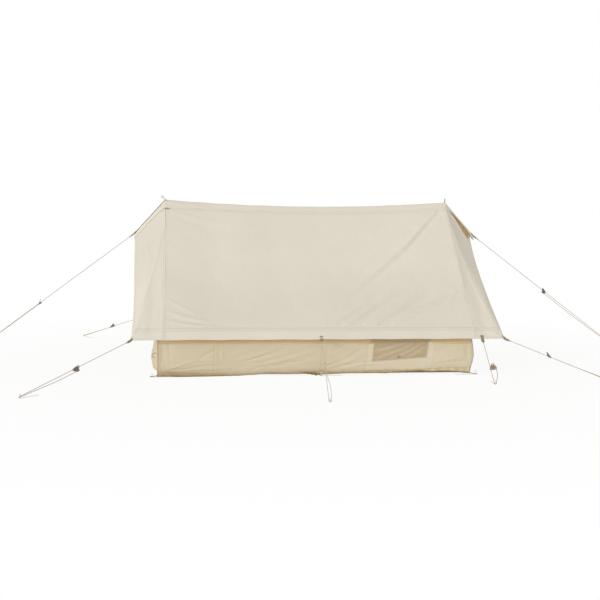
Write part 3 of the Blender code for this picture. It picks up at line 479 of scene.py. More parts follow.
def smooth(value, start, stop):
    share = np.clip((np.asarray(value, float) - start) / (stop - start), 0, 1)
    return share * share * (3 - 2 * share)


def edgeFade(share, reach=0.18):
    return smooth(np.minimum(share, 1 - share), 0, reach)


def addPiece(name, data, finish, body="tent"):
    piece = bpy.data.objects.new(name, data)
    bpy.context.scene.collection.objects.link(piece)
    if not data.materials:
        data.materials.append(finish)
    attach(piece, body)
    return piece


def curvePiece(name, points, radius, finish):
    curve = bpy.data.curves.new(name, "CURVE")
    curve.dimensions = "3D"
    curve.bevel_depth = radius
    curve.bevel_resolution = 4
    curve.use_fill_caps = True
    spline = curve.splines.new("POLY")
    spline.points.add(len(points) - 1)
    spline.points.foreach_set("co", np.column_stack([np.asarray(points), np.ones(len(points))]).ravel())
    spline.use_smooth = True
    return addPiece(name, curve, finish)


def softenPath(points, passes=2):
    # Rounds the corners of a path and keeps both its ends
    points = np.asarray(points, float)
    for _ in range(passes):
        first = points[:-1] * 0.75 + points[1:] * 0.25
        second = points[:-1] * 0.25 + points[1:] * 0.75
        middle = np.stack([first, second], axis=1).reshape(-1, 3)[1:-1]
        points = np.vstack([points[:1], middle, points[-1:]])
    return points


def coilPoints(middle, axis, radius, turns, pitch, perTurn=18):
    axis = unit(axis)
    side = unit(np.cross(axis, (0, 0, 1) if abs(axis[2]) < 0.9 else (1, 0, 0)))
    other = np.cross(axis, side)
    angles = np.linspace(0, 2 * pi * turns, int(turns * perTurn) + 1)
    along = (angles / (2 * pi) - turns / 2) * pitch
    circle = np.outer(np.cos(angles), side) + np.outer(np.sin(angles), other)
    return np.asarray(middle) + np.outer(along, axis) + radius * circle


# Guylines, each one cord: out of the webbing, round its peg and back through its tensioner
guylines = {
    "diameter": 0.004, "tabLength": 0.045, "loopRadius": 0.008, "loopHeight": 0.011, "pegWire": 0.0025,
    "strandGap": 0.044, "tail": 0.016,
    "lines": {
        # tab, peg, distance to the tensioner, turn of the second strand in degrees
        "tip_left": ("tipLeft", (-3.176, 0), 1.080, -6), "tip_right": ("tipRight", (3.176, 0), 0.907, -15),
        "left_near": ("leftNear", (-2.303, -2.075), 0.664, -9),
        "right_near": ("rightNear", (2.303, -2.075), 0.439, -16),
        "left_far": ("leftFar", (-2.303, 2.075), 0.600, -11),
        "middle_near": ("middleNear", (-0.097, -2.397), 0.655, 90),
        "side_near": ("sideNear", (1.333, -1.673), 0.415, 10),
    },
    "spare": {"middle_far": ("middleFar", (0.0, 2.4)), "right_far": ("rightFar", (2.303, 2.075))},
}
eaveMiddle = eaveHeight - clothDrop / 2
tipMiddle = tentShape["tipHeight"] + seamGap + capDrop / 2
tabStarts = {
    "tipLeft": (-tipX, 0, tipMiddle), "tipRight": (tipX, 0, tipMiddle),
    "leftNear": (-cornerX, -eaveHalf, eaveMiddle), "rightNear": (cornerX, -eaveHalf, eaveMiddle),
    "leftFar": (-cornerX, eaveHalf, eaveMiddle), "rightFar": (cornerX, eaveHalf, eaveMiddle),
    "middleNear": (0, -eaveHalf, eaveMiddle), "middleFar": (0, eaveHalf, eaveMiddle),
    "sideNear": (1.375, -eaveHalf, eaveMiddle),
}


def guyFrame(start, peg):
    start = np.array(start, float)
    riser = np.array([peg[0], peg[1], guylines["loopHeight"]])
    levelOut = unit([peg[0] - start[0], peg[1] - start[1], 0])
    levelAcross = np.cross((0, 0, 1), levelOut)
    radius = guylines["loopRadius"]
    bend = riser - levelOut * (radius - guylines["pegWire"] - guylines["diameter"] / 2 - seamGap)
    finish = bend - levelAcross * radius
    ahead = unit(finish - start)
    across = unit(np.cross((0, 0, 1), ahead))
    above = np.cross(ahead, across)
    return start, finish, bend, levelOut, levelAcross, ahead, across, above


def guyRoute(start, peg, toPlate, turn):
    start, finish, bend, levelOut, levelAcross, ahead, across, above = guyFrame(start, peg)
    radius, gap = guylines["loopRadius"], guylines["strandGap"]
    exitPoint = start + ahead * (guylines["tabLength"] + seamGap)
    plate = start + ahead * toPlate
    reach = float(np.linalg.norm(finish - exitPoint))
    stops = [k / 8 for k in range(8)] + [1 - 0.060 / reach, 1 - 0.012 / reach, 1.0]
    points = [exitPoint + (finish - exitPoint) * stop for stop in sorted(stops)]
    for angle in np.linspace(0, pi, 13)[1:]:
        points.append(bend + levelOut * radius * math.sin(angle) - levelAcross * radius * math.cos(angle))
    way = finish - plate
    for along, wide in [(0.04, 0.02), (0.16, 0.20), (0.32, 0.52), (0.48, 0.82), (0.60, 0.96), (0.70, 1.0), (0.86, 1.0)]:
        angle = math.radians(turn) * wide
        aside = (across * math.cos(angle) + above * math.sin(angle)) * mix(2 * radius, gap, wide)
        points.append(finish - way * along + aside)
    points += [plate + aside, plate - ahead * guylines["tail"] + aside]     # through the tensioner to the knot
    return softenPath(points), exitPoint, ahead, across, above


for name, (tab, peg, toPlate, turn) in guylines["lines"].items():
    route, exitPoint, ahead, across, above = guyRoute(tabStarts[tab], peg, toPlate, turn)
    laid = finishes["cordPale" if name == "middle_near" else "cord"]
    rope = curvePiece(f"rope_{name}", route, guylines["diameter"] / 2, laid)
    # the hitch at the webbing and the stopper knot on the tail
    hitch = curvePiece(f"hitch_{name}", coilPoints(exitPoint + ahead * 0.008, ahead, 0.0033, 3, 0.0034),
                       0.0017, laid)
    bulk = 1.9 if name == "tip_left" else 1.0
    knot = curvePiece(f"knot_{name}", coilPoints(route[-1] - ahead * 0.001, ahead, 0.0028 * bulk, 2.5, 0.0032 * bulk),
                      0.0019 * bulk, finishes["darkStrapAndShade"] if bulk > 1 else laid)
    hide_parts(f"guyline_{name}")


# Folds pressed into a sheet. Each stroke is a path on the cloth, its width at both ends and its height. It is a
# round fold unless its kind says otherwise: a sharp crease, or a ray, strong where it starts and gone where it ends.
def strokeRelief(across, down, strokes):
    relief = np.zeros(np.broadcast(across, down).shape)
    for path, widths, height, *kind in strokes:
        path = np.asarray(path, float)
        runs = np.linalg.norm(np.diff(path, axis=0), axis=1)
        total = runs.sum()
        nearest = np.full(relief.shape, np.inf)
        place = np.zeros(relief.shape)
        before = 0.0
        for (start, stop), run in zip(zip(path, path[1:]), runs):
            along = (stop - start) / run
            offX, offY = across - start[0], down - start[1]
            share = np.clip((offX * along[0] + offY * along[1]) / run, 0, 1)
            away = np.hypot(offX - share * run * along[0], offY - share * run * along[1])
            closer = away < nearest
            nearest = np.where(closer, away, nearest)
            place = np.where(closer, (before + share * run) / total, place)
            before += run
        width = mix(widths[0], widths[1], place)
        form = np.exp(-nearest / width if "crease" in kind else -(nearest / width) ** 2)
        if "ray" in kind:
            envelope = (1 - place) ** 1.2 * smooth(place, 0.0, 0.06)
        else:
            envelope = np.sin(pi * np.clip(0.12 + 0.88 * place, 0, 1)) ** 0.7
        relief += height * form * envelope
    return relief


def rumple(across, down, seed, height, longest, shortest, count=14, stretch=(1.0, 1.0)):
    # slow unevenness of stretched cloth
    chance = np.random.default_rng(seed)
    relief = np.zeros(np.broadcast(across, down).shape)
    for _ in range(count):
        wave = math.exp(chance.uniform(math.log(shortest), math.log(longest)))
        turn, shift = chance.uniform(0, pi), chance.uniform(0, 2 * pi)
        way = across / stretch[0] * math.cos(turn) + down / stretch[1] * math.sin(turn)
        relief += (wave / longest) * np.sin(2 * pi / wave * way + shift)
    return height * relief / math.sqrt(count / 2)


def gridNormals(points, outward):
    along, down = np.gradient(points, axis=0), np.gradient(points, axis=1)
    normals = np.cross(along, down)
    normals /= np.maximum(np.linalg.norm(normals, axis=2, keepdims=True), 1e-12)
    middle = normals[points.shape[0] // 2, points.shape[1] // 2]
    return normals if float(np.dot(middle, outward)) > 0 else -normals


def layFlat(mesh, places, tone):
    # gives the materials each point's place on the flat cloth and its tone
    mesh.attributes.new("clothPlace", "FLOAT_VECTOR", "POINT").data.foreach_set("vector", places.ravel())
    mesh.attributes.new("clothTone", "FLOAT", "POINT").data.foreach_set("value", tone.ravel())
    mesh.polygons.foreach_set("use_smooth", np.ones(len(mesh.polygons), bool))


def reworkMesh(mesh, work):
    build = bmesh.new()
    build.from_mesh(mesh)
    work(build)
    build.to_mesh(mesh)
    build.free()


def turnOutwards(build):
    bmesh.ops.recalc_face_normals(build, faces=build.faces)


def dropLoose(build):
    bmesh.ops.delete(build, geom=[vert for vert in build.verts if not vert.link_faces], context="VERTS")


def makeSheet(name, points, place, finish, body="tent", outward=(0, 0, 1), thick=0.0, keep=None, tone=0.0):
    # points is a grid of places, place the same grid laid flat in metres
    wide, long = points.shape[:2]
    index = np.arange(wide * long).reshape(wide, long)
    faces = np.stack([index[:-1, :-1], index[1:, :-1], index[1:, 1:], index[:-1, 1:]], axis=2)
    faces = faces.reshape(-1, 4) if keep is None else faces[keep]
    mid = (wide // 2, long // 2)
    along = points[mid[0], mid[1]] - points[mid[0] - 1, mid[1]]
    down = points[mid[0], mid[1]] - points[mid[0], mid[1] - 1]
    if float(np.dot(np.cross(along, down), outward)) < 0:
        faces = faces[:, ::-1]
    mesh = bpy.data.meshes.new(name)
    mesh.from_pydata(points.reshape(-1, 3).tolist(), [], faces.tolist())
    flat = np.zeros((wide, long, 3))
    flat[..., 0], flat[..., 1] = place
    layFlat(mesh, flat, np.broadcast_to(tone, (wide, long)))
    if keep is not None:
        reworkMesh(mesh, dropLoose)
    mesh.update()
    piece = addPiece(name, mesh, finish, body)
    if thick:
        layer = piece.modifiers.new("clothThickness", "SOLIDIFY")
        layer.thickness, layer.offset = thick, -1
        layer.use_even_offset = False
    return piece


# Tapes, hems and webbing: a strip sewn along a path, slightly crowned
def makeStrip(name, path, normals, width, thick, finish, body="tent", sink=0.3, tone=0.0):
    path = np.asarray(path, float)
    normals = np.broadcast_to(np.asarray(normals, float), path.shape)
    tangent = np.gradient(path, axis=0)
    tangent /= np.linalg.norm(tangent, axis=1, keepdims=True)
    side = np.cross(normals, tangent)
    side /= np.maximum(np.linalg.norm(side, axis=1, keepdims=True), 1e-12)
    lift = np.cross(tangent, side)
    width = np.broadcast_to(width, len(path))
    section = [(-0.5, -sink), (-0.5, 0.55), (-0.46, 0.9), (-0.25, 1.0), (0.25, 1.0), (0.46, 0.9), (0.5, 0.55),
               (0.5, -sink)]
    rings = np.stack([path + side * (width * aside)[:, None] + lift * (thick * high) for aside, high in section],
                     axis=1)
    count, around = rings.shape[:2]
    index = np.arange(count * around).reshape(count, around)
    rolled = np.roll(index, -1, axis=1)
    faces = np.stack([index[:-1], index[1:], rolled[1:], rolled[:-1]], axis=2).reshape(-1, 4).tolist()
    faces += [index[0].tolist(), index[-1][::-1].tolist()]
    mesh = bpy.data.meshes.new(name)
    mesh.from_pydata(rings.reshape(-1, 3).tolist(), [], faces)
    run = np.concatenate([[0], np.cumsum(np.linalg.norm(np.diff(path, axis=0), axis=1))])
    flat = np.zeros((count, around, 3))
    flat[:, :, 0] = run[:, None]
    flat[:, :, 1] = width[:, None] * np.array([aside for aside, _ in section])[None, :]
    layFlat(mesh, flat, np.full((count, around), tone))
    reworkMesh(mesh, turnOutwards)
    return addPiece(name, mesh, finish, body)


def stations(start, end, step, fixed=()):
    stops = sorted({start, end, *[value for value in fixed if start < value < end]})
    parts = []
    for first, second in zip(stops, stops[1:]):
        count = max(1, math.ceil((second - first) / step - 1e-6))
        parts.append(np.linspace(first, second, count + 1)[:-1])
    return np.concatenate(parts + [[stops[-1]]])


# The ridge cap and its beaks
beakForm = {
    "left": {"out": (0, .25, .5, .7, .85, 1), "half": (.070, .056, .044, .035, .028, .020),
             "deep": (slope * .070, .055, .046, .046, .050, .044)},
    "right": {"out": (0, .25, .5, .7, .85, 1), "half": (.042, .033, .027, .022, .021, .020),
              "deep": (slope * .042, .029, .024, .021, .027, .044)},
    "middleHalf": 0.046, "tuckShare": 0.97, "lap": 0.020,
    "ventDepth": {"left": 0.0, "right": 0.158}, "wingStop": {"left": 0.008, "right": 0.038},
    "wingDrop": {"left": 0.004, "right": 0.038}, "crest": {"left": "webbing", "right": "cap"},
}
capShare = (beakForm["left"]["half"][0] + beakForm["lap"]) / halfWidth


def ridgeLine(x):
    return ridgeHeight - tentShape["ridgeSag"] * np.maximum(0, 1 - (x / halfLength) ** 2)


def capUnder(x, share):
    # inner face of the cap, share running from -1 to 1 across it
    x, share = np.broadcast_arrays(np.asarray(x, float), np.asarray(share, float))
    size = np.abs(x)
    beyond = size > halfLength
    out = np.clip((size - halfLength) / tentShape["tipReach"], 0, 1)
    half, deep = np.zeros(x.shape), np.zeros(x.shape)
    for end, here in (("left", x < 0), ("right", x >= 0)):
        form = beakForm[end]
        inHalf = mix(beakForm["middleHalf"], form["half"][0], (size / halfLength) ** 2)
        inDeep = inHalf * (ridgeLine(x) - wallHeight) / halfWidth
        half = np.where(here, np.where(beyond, np.interp(out, form["out"], form["half"]), inHalf), half)
        deep = np.where(here, np.where(beyond, np.interp(out, form["out"], form["deep"]), inDeep), deep)
    top = np.where(beyond, mix(ridgeHeight, tentShape["tipHeight"], out), ridgeLine(x))
    return np.stack([x, half * share, top - deep * np.abs(share) + seamGap], axis=-1)


def makeRidgeCap():
    x = stations(-tipX, tipX, 0.0085, [-halfLength, halfLength])
    share = np.concatenate([-np.linspace(1, 0, 11) ** 0.8, np.linspace(0, 1, 11)[1:] ** 0.8])
    gridX, gridShare = np.meshgrid(x, share, indexing="ij")
    points = capUnder(gridX, gridShare)
    points[..., 2] += capDrop
    normals = gridNormals(points, (0, 0, 1))
    aside = np.abs(points[..., 1]) * steep
    half = np.abs(points[:, -1:, 1]) * steep
    creases = [
        ([(-1.335, 0.02), (-1.17, 0.045), (-0.90, 0.055)], (0.010, 0.020), 0.0028),
        ([(-1.30, 0.085), (-1.10, 0.055), (-0.70, 0.040)], (0.006, 0.012), -0.0016),
        ([(1.31, 0.01), (1.05, 0.035), (0.80, 0.045)], (0.007, 0.014), 0.0014),
        ([(-1.36, 0.075), (-1.45, 0.045), (-1.56, 0.020)], (0.007, 0.010), 0.0022),
    ]
    relief = 1.5 * strokeRelief(gridX, aside, creases) + rumple(gridX, aside, 41, 0.0008, 0.30, 0.06)
    relief += 0.0016 * smooth(half - aside, 0.0, 0.010) - 0.0008
    points += normals * (relief * edgeFade((gridX + tipX) / (2 * tipX), 0.02))[..., None]
    points[..., 1] = np.where(np.abs(gridShare) < 1e-9, 0, points[..., 1])
    # paler along the cap's lower edge: a painted highlight where the edge catches the light
    tone = 0.25 * np.exp(-((half - aside) / 0.010) ** 2)
    cap = makeSheet("ridgeCap", points, (gridX, half - aside), finishes["cap"],
                    thick=tentShape["clothThick"], tone=tone)
    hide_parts("ridge_cap")
    # a strip along the crest of each beak takes the pull of the guyline: webbing on the left, cap cloth on the right
    for end, sign in endSign.items():
        run = np.linspace(halfLength - 0.02, tipX - 0.002, 36) * sign
        spread = np.array([-0.30, -0.18, -0.06, 0.0, 0.06, 0.18, 0.30])
        crestX, crestShare = np.meshgrid(run, spread, indexing="ij")
        crest = capUnder(crestX, crestShare * mix(0.45, 0.9, (np.abs(crestX) - halfLength) / tentShape["tipReach"]))
        crest[..., 2] += capDrop
        crest += gridNormals(crest, (0, 0, 1)) * 0.0017
        strip = makeSheet(f"crestWebbing_{end}", crest, (crestX, crestShare * 0.03), finishes[beakForm["crest"][end]],
                          thick=0.0012)
    print("ridge cap sewn")


# Roof slopes
roofForm = {
    "seamTape": {"left": 0.030, "right": 0.020}, "stitchAt": (1.063, 1.082),
    # pull inwards, distance down the slope in which it grows, bow at the eave
    "seamPull": {"left": (0.020, 0.15, 0.008), "right": (0.0, 0.15, 0.0)},
    "gapShade": {"x": (-1.322, -1.286), "down": (0.080, 0.075), "width": 0.011},
    "nearFolds": [
        ([(1.22, 0.07), (1.06, 0.20), (0.89, 0.35), (0.72, 0.47), (0.56, 0.58), (0.34, 0.73)],
         (.014, .036), .0078),
        ([(1.25, 0.09), (1.09, 0.22), (0.92, 0.37), (0.75, 0.49), (0.59, 0.61), (0.38, 0.75), (0.24, 0.86)],
         (.014, .036), -.0076),
        ([(1.14, 0.09), (0.90, 0.21), (0.64, 0.31), (0.44, 0.38)], (.014, .03), .004, "ray"),
        ([(0.15, 1.03), (0.28, 0.96), (0.42, 0.88), (0.56, 0.80)], (.011, .022), -.0074),
        ([(0.21, 1.03), (0.36, 0.95), (0.52, 0.86), (0.68, 0.78)], (.012, .022), .0090),
        ([(0.29, 1.03), (0.44, 0.95), (0.61, 0.87), (0.78, 0.79)], (.012, .024), -.0080),
        ([(0.39, 1.03), (0.56, 0.95), (0.73, 0.88), (0.90, 0.80)], (.012, .026), .0100),
        ([(0.51, 1.03), (0.70, 0.94), (0.90, 0.86), (1.06, 0.79)], (.012, .026), -.0100),
        ([(0.63, 1.04), (0.85, 0.94), (1.05, 0.86), (1.18, 0.80)], (.012, .026), .0110),
        ([(1.24, 0.78), (1.13, 0.87)], (.01, .014), .0046),
        ([(-1.29, 0.10), (-0.96, 0.16), (-0.64, 0.19), (-0.32, 0.24)], (.012, .030), .0034, "ray"),
        ([(-1.29, 0.13), (-1.00, 0.21), (-0.60, 0.27)], (.012, .030), -.0026, "ray"),
        ([(-1.29, 0.11), (-1.09, 0.23), (-0.87, 0.35)], (.014, .036), .0018, "ray"),
        ([(-1.29, 0.93), (-1.13, 0.98), (-0.88, 1.03)], (.01, .018), .0045),
        ([(-1.29, 0.98), (-1.11, 1.01), (-0.72, 1.05)], (.008, .014), -.0038),
        ([(-1.29, 1.01), (-1.09, 1.04), (-0.84, 1.05)], (.008, .012), .0034),
        ([(-1.29, 0.84), (-1.16, 0.90), (-0.98, 0.98)], (.01, .018), .0036),
        ([(-0.49, 1.05), (-0.38, 1.01), (-0.25, 0.96)], (.01, .016), .0028),
    ],
    "farFolds": [
        ([(-1.30, 0.03), (-1.02, 0.21), (-0.72, 0.45), (-0.42, 0.72)], (.014, .055), .0060),
        ([(1.30, 0.07), (0.85, 0.14), (0.30, 0.22)], (.012, .035), .0028, "ray"),
        ([(1.30, 0.09), (1.10, 0.30), (0.94, 0.52)], (.014, .045), .0022, "ray"),
        ([(1.29, 0.97), (1.05, 1.01), (0.80, 1.05)], (.008, .016), .0022),
        ([(1.29, 0.85), (1.08, 0.93), (0.82, 1.02)], (.010, .022), .0022, "ray"),
        ([(-1.02, 0.88), (-0.80, 0.96), (-0.55, 1.04)], (.010, .022), .0030),
        ([(-0.40, 0.93), (-0.28, 0.98), (-0.12, 1.04)], (.012, .018), .0022),
    ],
}


def seamAt(end, s):
    # where the seam between roof and wing runs, pulled inwards a little on the left
    pull, within, bow = roofForm["seamPull"][end]
    return endSign[end] * (halfLength - pull * (1 - np.exp(-s / within)) - bow * (s / eaveHalf) ** 2)


def roofSurface(x, s):
    x, s = np.broadcast_arrays(np.asarray(x, float), np.asarray(s, float))
    share = np.clip((s / halfWidth - capShare) / (1 - capShare), 0, 1)
    inside = mix(ridgeLine(x), wallHeight, s / halfWidth)
    inside = inside - tentShape["slopeHollow"] * np.sin(pi * share) * edgeFade((x + halfLength) / tentShape["length"])
    z = np.where(s >= halfWidth, wallHeight - slope * (s - halfWidth), inside)
    return np.stack([x, s, z], axis=-1)


def bandTone(s):
    # the doubled hem below the stitching is lighter; the rows themselves are a touch darker, painted shade in their
    # grooves
    upper, lower = roofForm["stitchAt"]
    tone = 0.16 * smooth(s, lower - 0.002, lower + 0.002)
    for level, depth in ((upper, 0.45), (lower, 0.30)):
        tone = tone - depth * np.exp(-((s - level) / 0.004) ** 2)
    return tone


def bandRelief(s):
    upper, lower = roofForm["stitchAt"]
    relief = 0.0010 * smooth(s, lower - 0.002, lower + 0.004)
    for level in (upper, lower):
        relief = relief - 0.0012 * np.exp(-((s - level) / 0.004) ** 2)
    return relief


def puckers(x, s, seamX, inward, height, fade, seed):
    # short ripples that a tight seam draws into the cloth beside it
    chance = np.random.default_rng(seed)
    away = (x - seamX) * inward
    relief = np.zeros(np.broadcast(x, s).shape)
    for middle in np.arange(0.12, 1.05, 0.027):
        place = middle + chance.uniform(-0.007, 0.007)
        reach = fade * chance.uniform(0.5, 1.5)
        tall = height * chance.uniform(0.3, 1.2) * (0.35 + 0.65 * float(smooth(middle, 0.35, 0.55)))
        drift = chance.uniform(-0.10, 0.14)
        relief += tall * np.exp(-((s - place - drift * away) / 0.0085) ** 2) * np.exp(-np.maximum(away, 0) / reach)
    return relief


hemPaths = {}


def makeRoofSlope(side):
    # formed on the far slope, and mirrored for the near one
    sign, far, out = sideSign[side], side == "far", slopeOut["far"]
    rows = [level + step for level in roofForm["stitchAt"] for step in (-0.006, 0, 0.006)]
    s = stations(seamGap / 2, eaveHalf, 0.0060, [0.04, 1.05, *rows])
    u = np.linspace(0, 1, 306)
    gridU, gridS = np.meshgrid(u, s, indexing="ij")
    gridX = mix(seamAt("left", gridS), seamAt("right", gridS), gridU)
    points = roofSurface(gridX, gridS)
    relief = (1.8 if far else 1.5) * strokeRelief(gridX, gridS, roofForm[f"{side}Folds"])
    relief += rumple(gridX, gridS, 7 + far, 0.0030, 0.9, 0.22, count=10)
    relief += rumple(gridX, gridS, 17 + far, 0.0006, 0.16, 0.05, count=16)
    relief += puckers(gridX, gridS, seamAt("left", gridS), 1, 0.0016, 0.050, 5 + 10 * far)
    relief += puckers(gridX, gridS, seamAt("right", gridS), -1, 0.0008, 0.035, 6 + 10 * far)
    relief *= smooth(gridS, 0.030, 0.085) * smooth(eaveHalf - gridS, -0.02, 0.05)
    relief += bandRelief(gridS)
    # the eave hangs in shallow waves between the places where it is pulled out
    relief += 0.0022 * np.sin(2 * pi * gridX / 0.37 + 0.6) * smooth(gridS, 1.07, eaveHalf)
    points = points + out * relief[..., None]
    points[..., 1] *= sign
    tone = bandTone(gridS) - 0.04 * np.exp(-((gridX - seamAt("left", gridS) + 0.004) / 0.004) ** 2)
    # painted shade: the lower part of the slope is darker
    tone = tone - 0.13 * smooth(gridS, 0.45, 0.85)
    # painted shadow in the gap where the cap's edge stands off the left seam
    tone = tone - 1.6 * np.exp(-((gridS - 0.074) / 0.010) ** 2) * np.exp(-((gridX + 1.298) / 0.024) ** 2)
    # painted shadow of the cap's edge, a dark line along it
    tone = tone - 0.18 * np.exp(-((gridS - 0.064) / 0.012) ** 2)
    slopePiece = makeSheet(f"roofSlope_{side}", points, (gridX, gridS * steep), finishes["roof"],
                           outward=(0, sign, 1), tone=tone)
    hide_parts(f"roof_{side}")
    hemPaths[side, "roof"] = points[:, -1]
    run = np.linspace(0.046, eaveHalf - 0.004, 150)
    wide = roofForm["seamTape"]["right"]
    path = roofSurface(seamAt("right", run) - wide * 0.46, run)
    path = path + np.outer(0.0006 + bandRelief(run) + 0.0006 * np.sin(run * 95.0), out)
    path[:, 1] *= sign
    tape = makeStrip(f"seamTape_right_{side}", path, slopeOut[side], wide, 0.0009, finishes["tape"], sink=2.0)
    # the cap's edge stands off where the left seam begins; a dark strip there is painted shade in the gap
    gapShade = roofForm["gapShade"]
    path = roofSurface(np.linspace(*gapShade["x"], 12), np.linspace(*gapShade["down"], 12)) + out * 0.0012
    path[:, 1] *= sign
    gap = makeStrip(f"capGapShade_{side}", path, slopeOut[side], gapShade["width"] * np.sin(np.linspace(0.35, pi - 0.2, 12)),
                    0.0008, finishes["gapShade"], sink=2.0)


# End wings
wingForm = {
    "edgeHollow": {"left": 0.012, "right": 0.028}, "hollowPlace": {"left": 1.8, "right": 0.8},
    "fold": 0.006, "crease": 0.6, "creaseStart": 0.08,
    "leftFolds": [
        ([(1.57, 1.14), (1.48, 0.95), (1.40, 0.80), (1.36, 0.66)], (.014, .050), .0065, "ray"),
        ([(1.56, 1.15), (1.42, 1.03), (1.30, 0.93)], (.012, .040), .0050, "ray"),
        ([(1.32, 0.20), (1.39, 0.50), (1.47, 0.80), (1.55, 1.08)], (.009, .016), .0042),
        ([(1.42, 0.22), (1.41, 0.48), (1.42, 0.74)], (.012, .022), -.0016),
        ([(1.50, 0.12), (1.47, 0.32), (1.43, 0.52)], (.009, .018), .0026),
        ([(1.60, 0.05), (1.55, 0.20), (1.51, 0.38)], (.008, .024), .0045, "ray"),
        ([(1.59, 0.06), (1.57, 0.24), (1.56, 0.44)], (.007, .018), -.0028, "ray"),
        ([(1.36, 0.12), (1.36, 0.34), (1.37, 0.60)], (.010, .020), .0020),
        ([(1.34, 0.85), (1.34, 0.98), (1.35, 1.05)], (.006, .010), -.0018),
    ],
    "rightFolds": [
        ([(1.32, 0.14), (1.36, 0.41), (1.39, 0.52), (1.41, 0.66), (1.45, 0.81), (1.50, 0.99), (1.56, 1.14)],
         (.006, .012), .0040, "crease"),
        ([(1.33, 1.02), (1.44, 1.08), (1.55, 1.14)], (.008, .010), .0030),
        ([(1.52, 0.28), (1.50, 0.56), (1.52, 0.86)], (.014, .024), .0040),
        ([(1.45, 0.22), (1.45, 0.46), (1.47, 0.70)], (.010, .020), -.0030),
        ([(1.40, 0.16), (1.42, 0.34), (1.44, 0.52)], (.010, .018), .0026),
    ],
}


def wingEdge(end, out):
    sign = endSign[end]
    x = mix(halfLength + seamGap, tipX - beakForm["wingStop"][end], out)
    point = capUnder(sign * x, beakForm["tuckShare"])
    point[..., 0] = x
    point[..., 2] -= 2 * seamGap + beakForm["wingDrop"][end] * out * out
    return point


def wingSurface(end, out, down):
    # outer face of a wing: out is 0 at the seam and 1 at the free edge, down is 0 at the vent
    out, down = np.broadcast_arrays(np.asarray(out, float), np.asarray(down, float))
    seamTop, freeTop = wingEdge(end, np.array(0.0)), wingEdge(end, np.array(1.0))
    reach = mix(seamTop[1], eaveHalf, down)
    seamX = np.abs(seamAt(end, reach))
    atSeam = roofSurface(seamX, reach)
    corner = np.array([cornerX, eaveHalf, eaveHeight])
    atEdge = freeTop + (corner - freeTop) * down[..., None]
    atEdge[..., 0] -= wingForm["edgeHollow"][end] * np.sin(pi * down ** wingForm["hollowPlace"][end])
    point = atSeam + (atEdge - atSeam) * out[..., None]
    straight = seamTop + (freeTop - seamTop) * out[..., None]
    fall = unit(corner - freeTop)
    scoop = beakForm["ventDepth"][end] * np.sin(pi * out ** 1.7)
    tucked = wingEdge(end, out) - straight + fall * scoop[..., None]
    point += tucked * ((1 - down) ** 5)[..., None]
    tipFall = ridgeHeight - slope * freeTop[1] - freeTop[2]
    above = out * (1 - down)
    below = (1 - out) * down * down / (down + wingForm["creaseStart"])
    safe = np.maximum(above, 1e-9) ** -4 + np.maximum(below, 1e-9) ** -4
    point[..., 2] += wingForm["crease"] * tipFall * np.where(above * below > 0, safe ** -0.25, 0)
    point[..., 2] -= wingForm["fold"] * np.sin(2 * pi * out) * np.sin(pi * down)
    return point


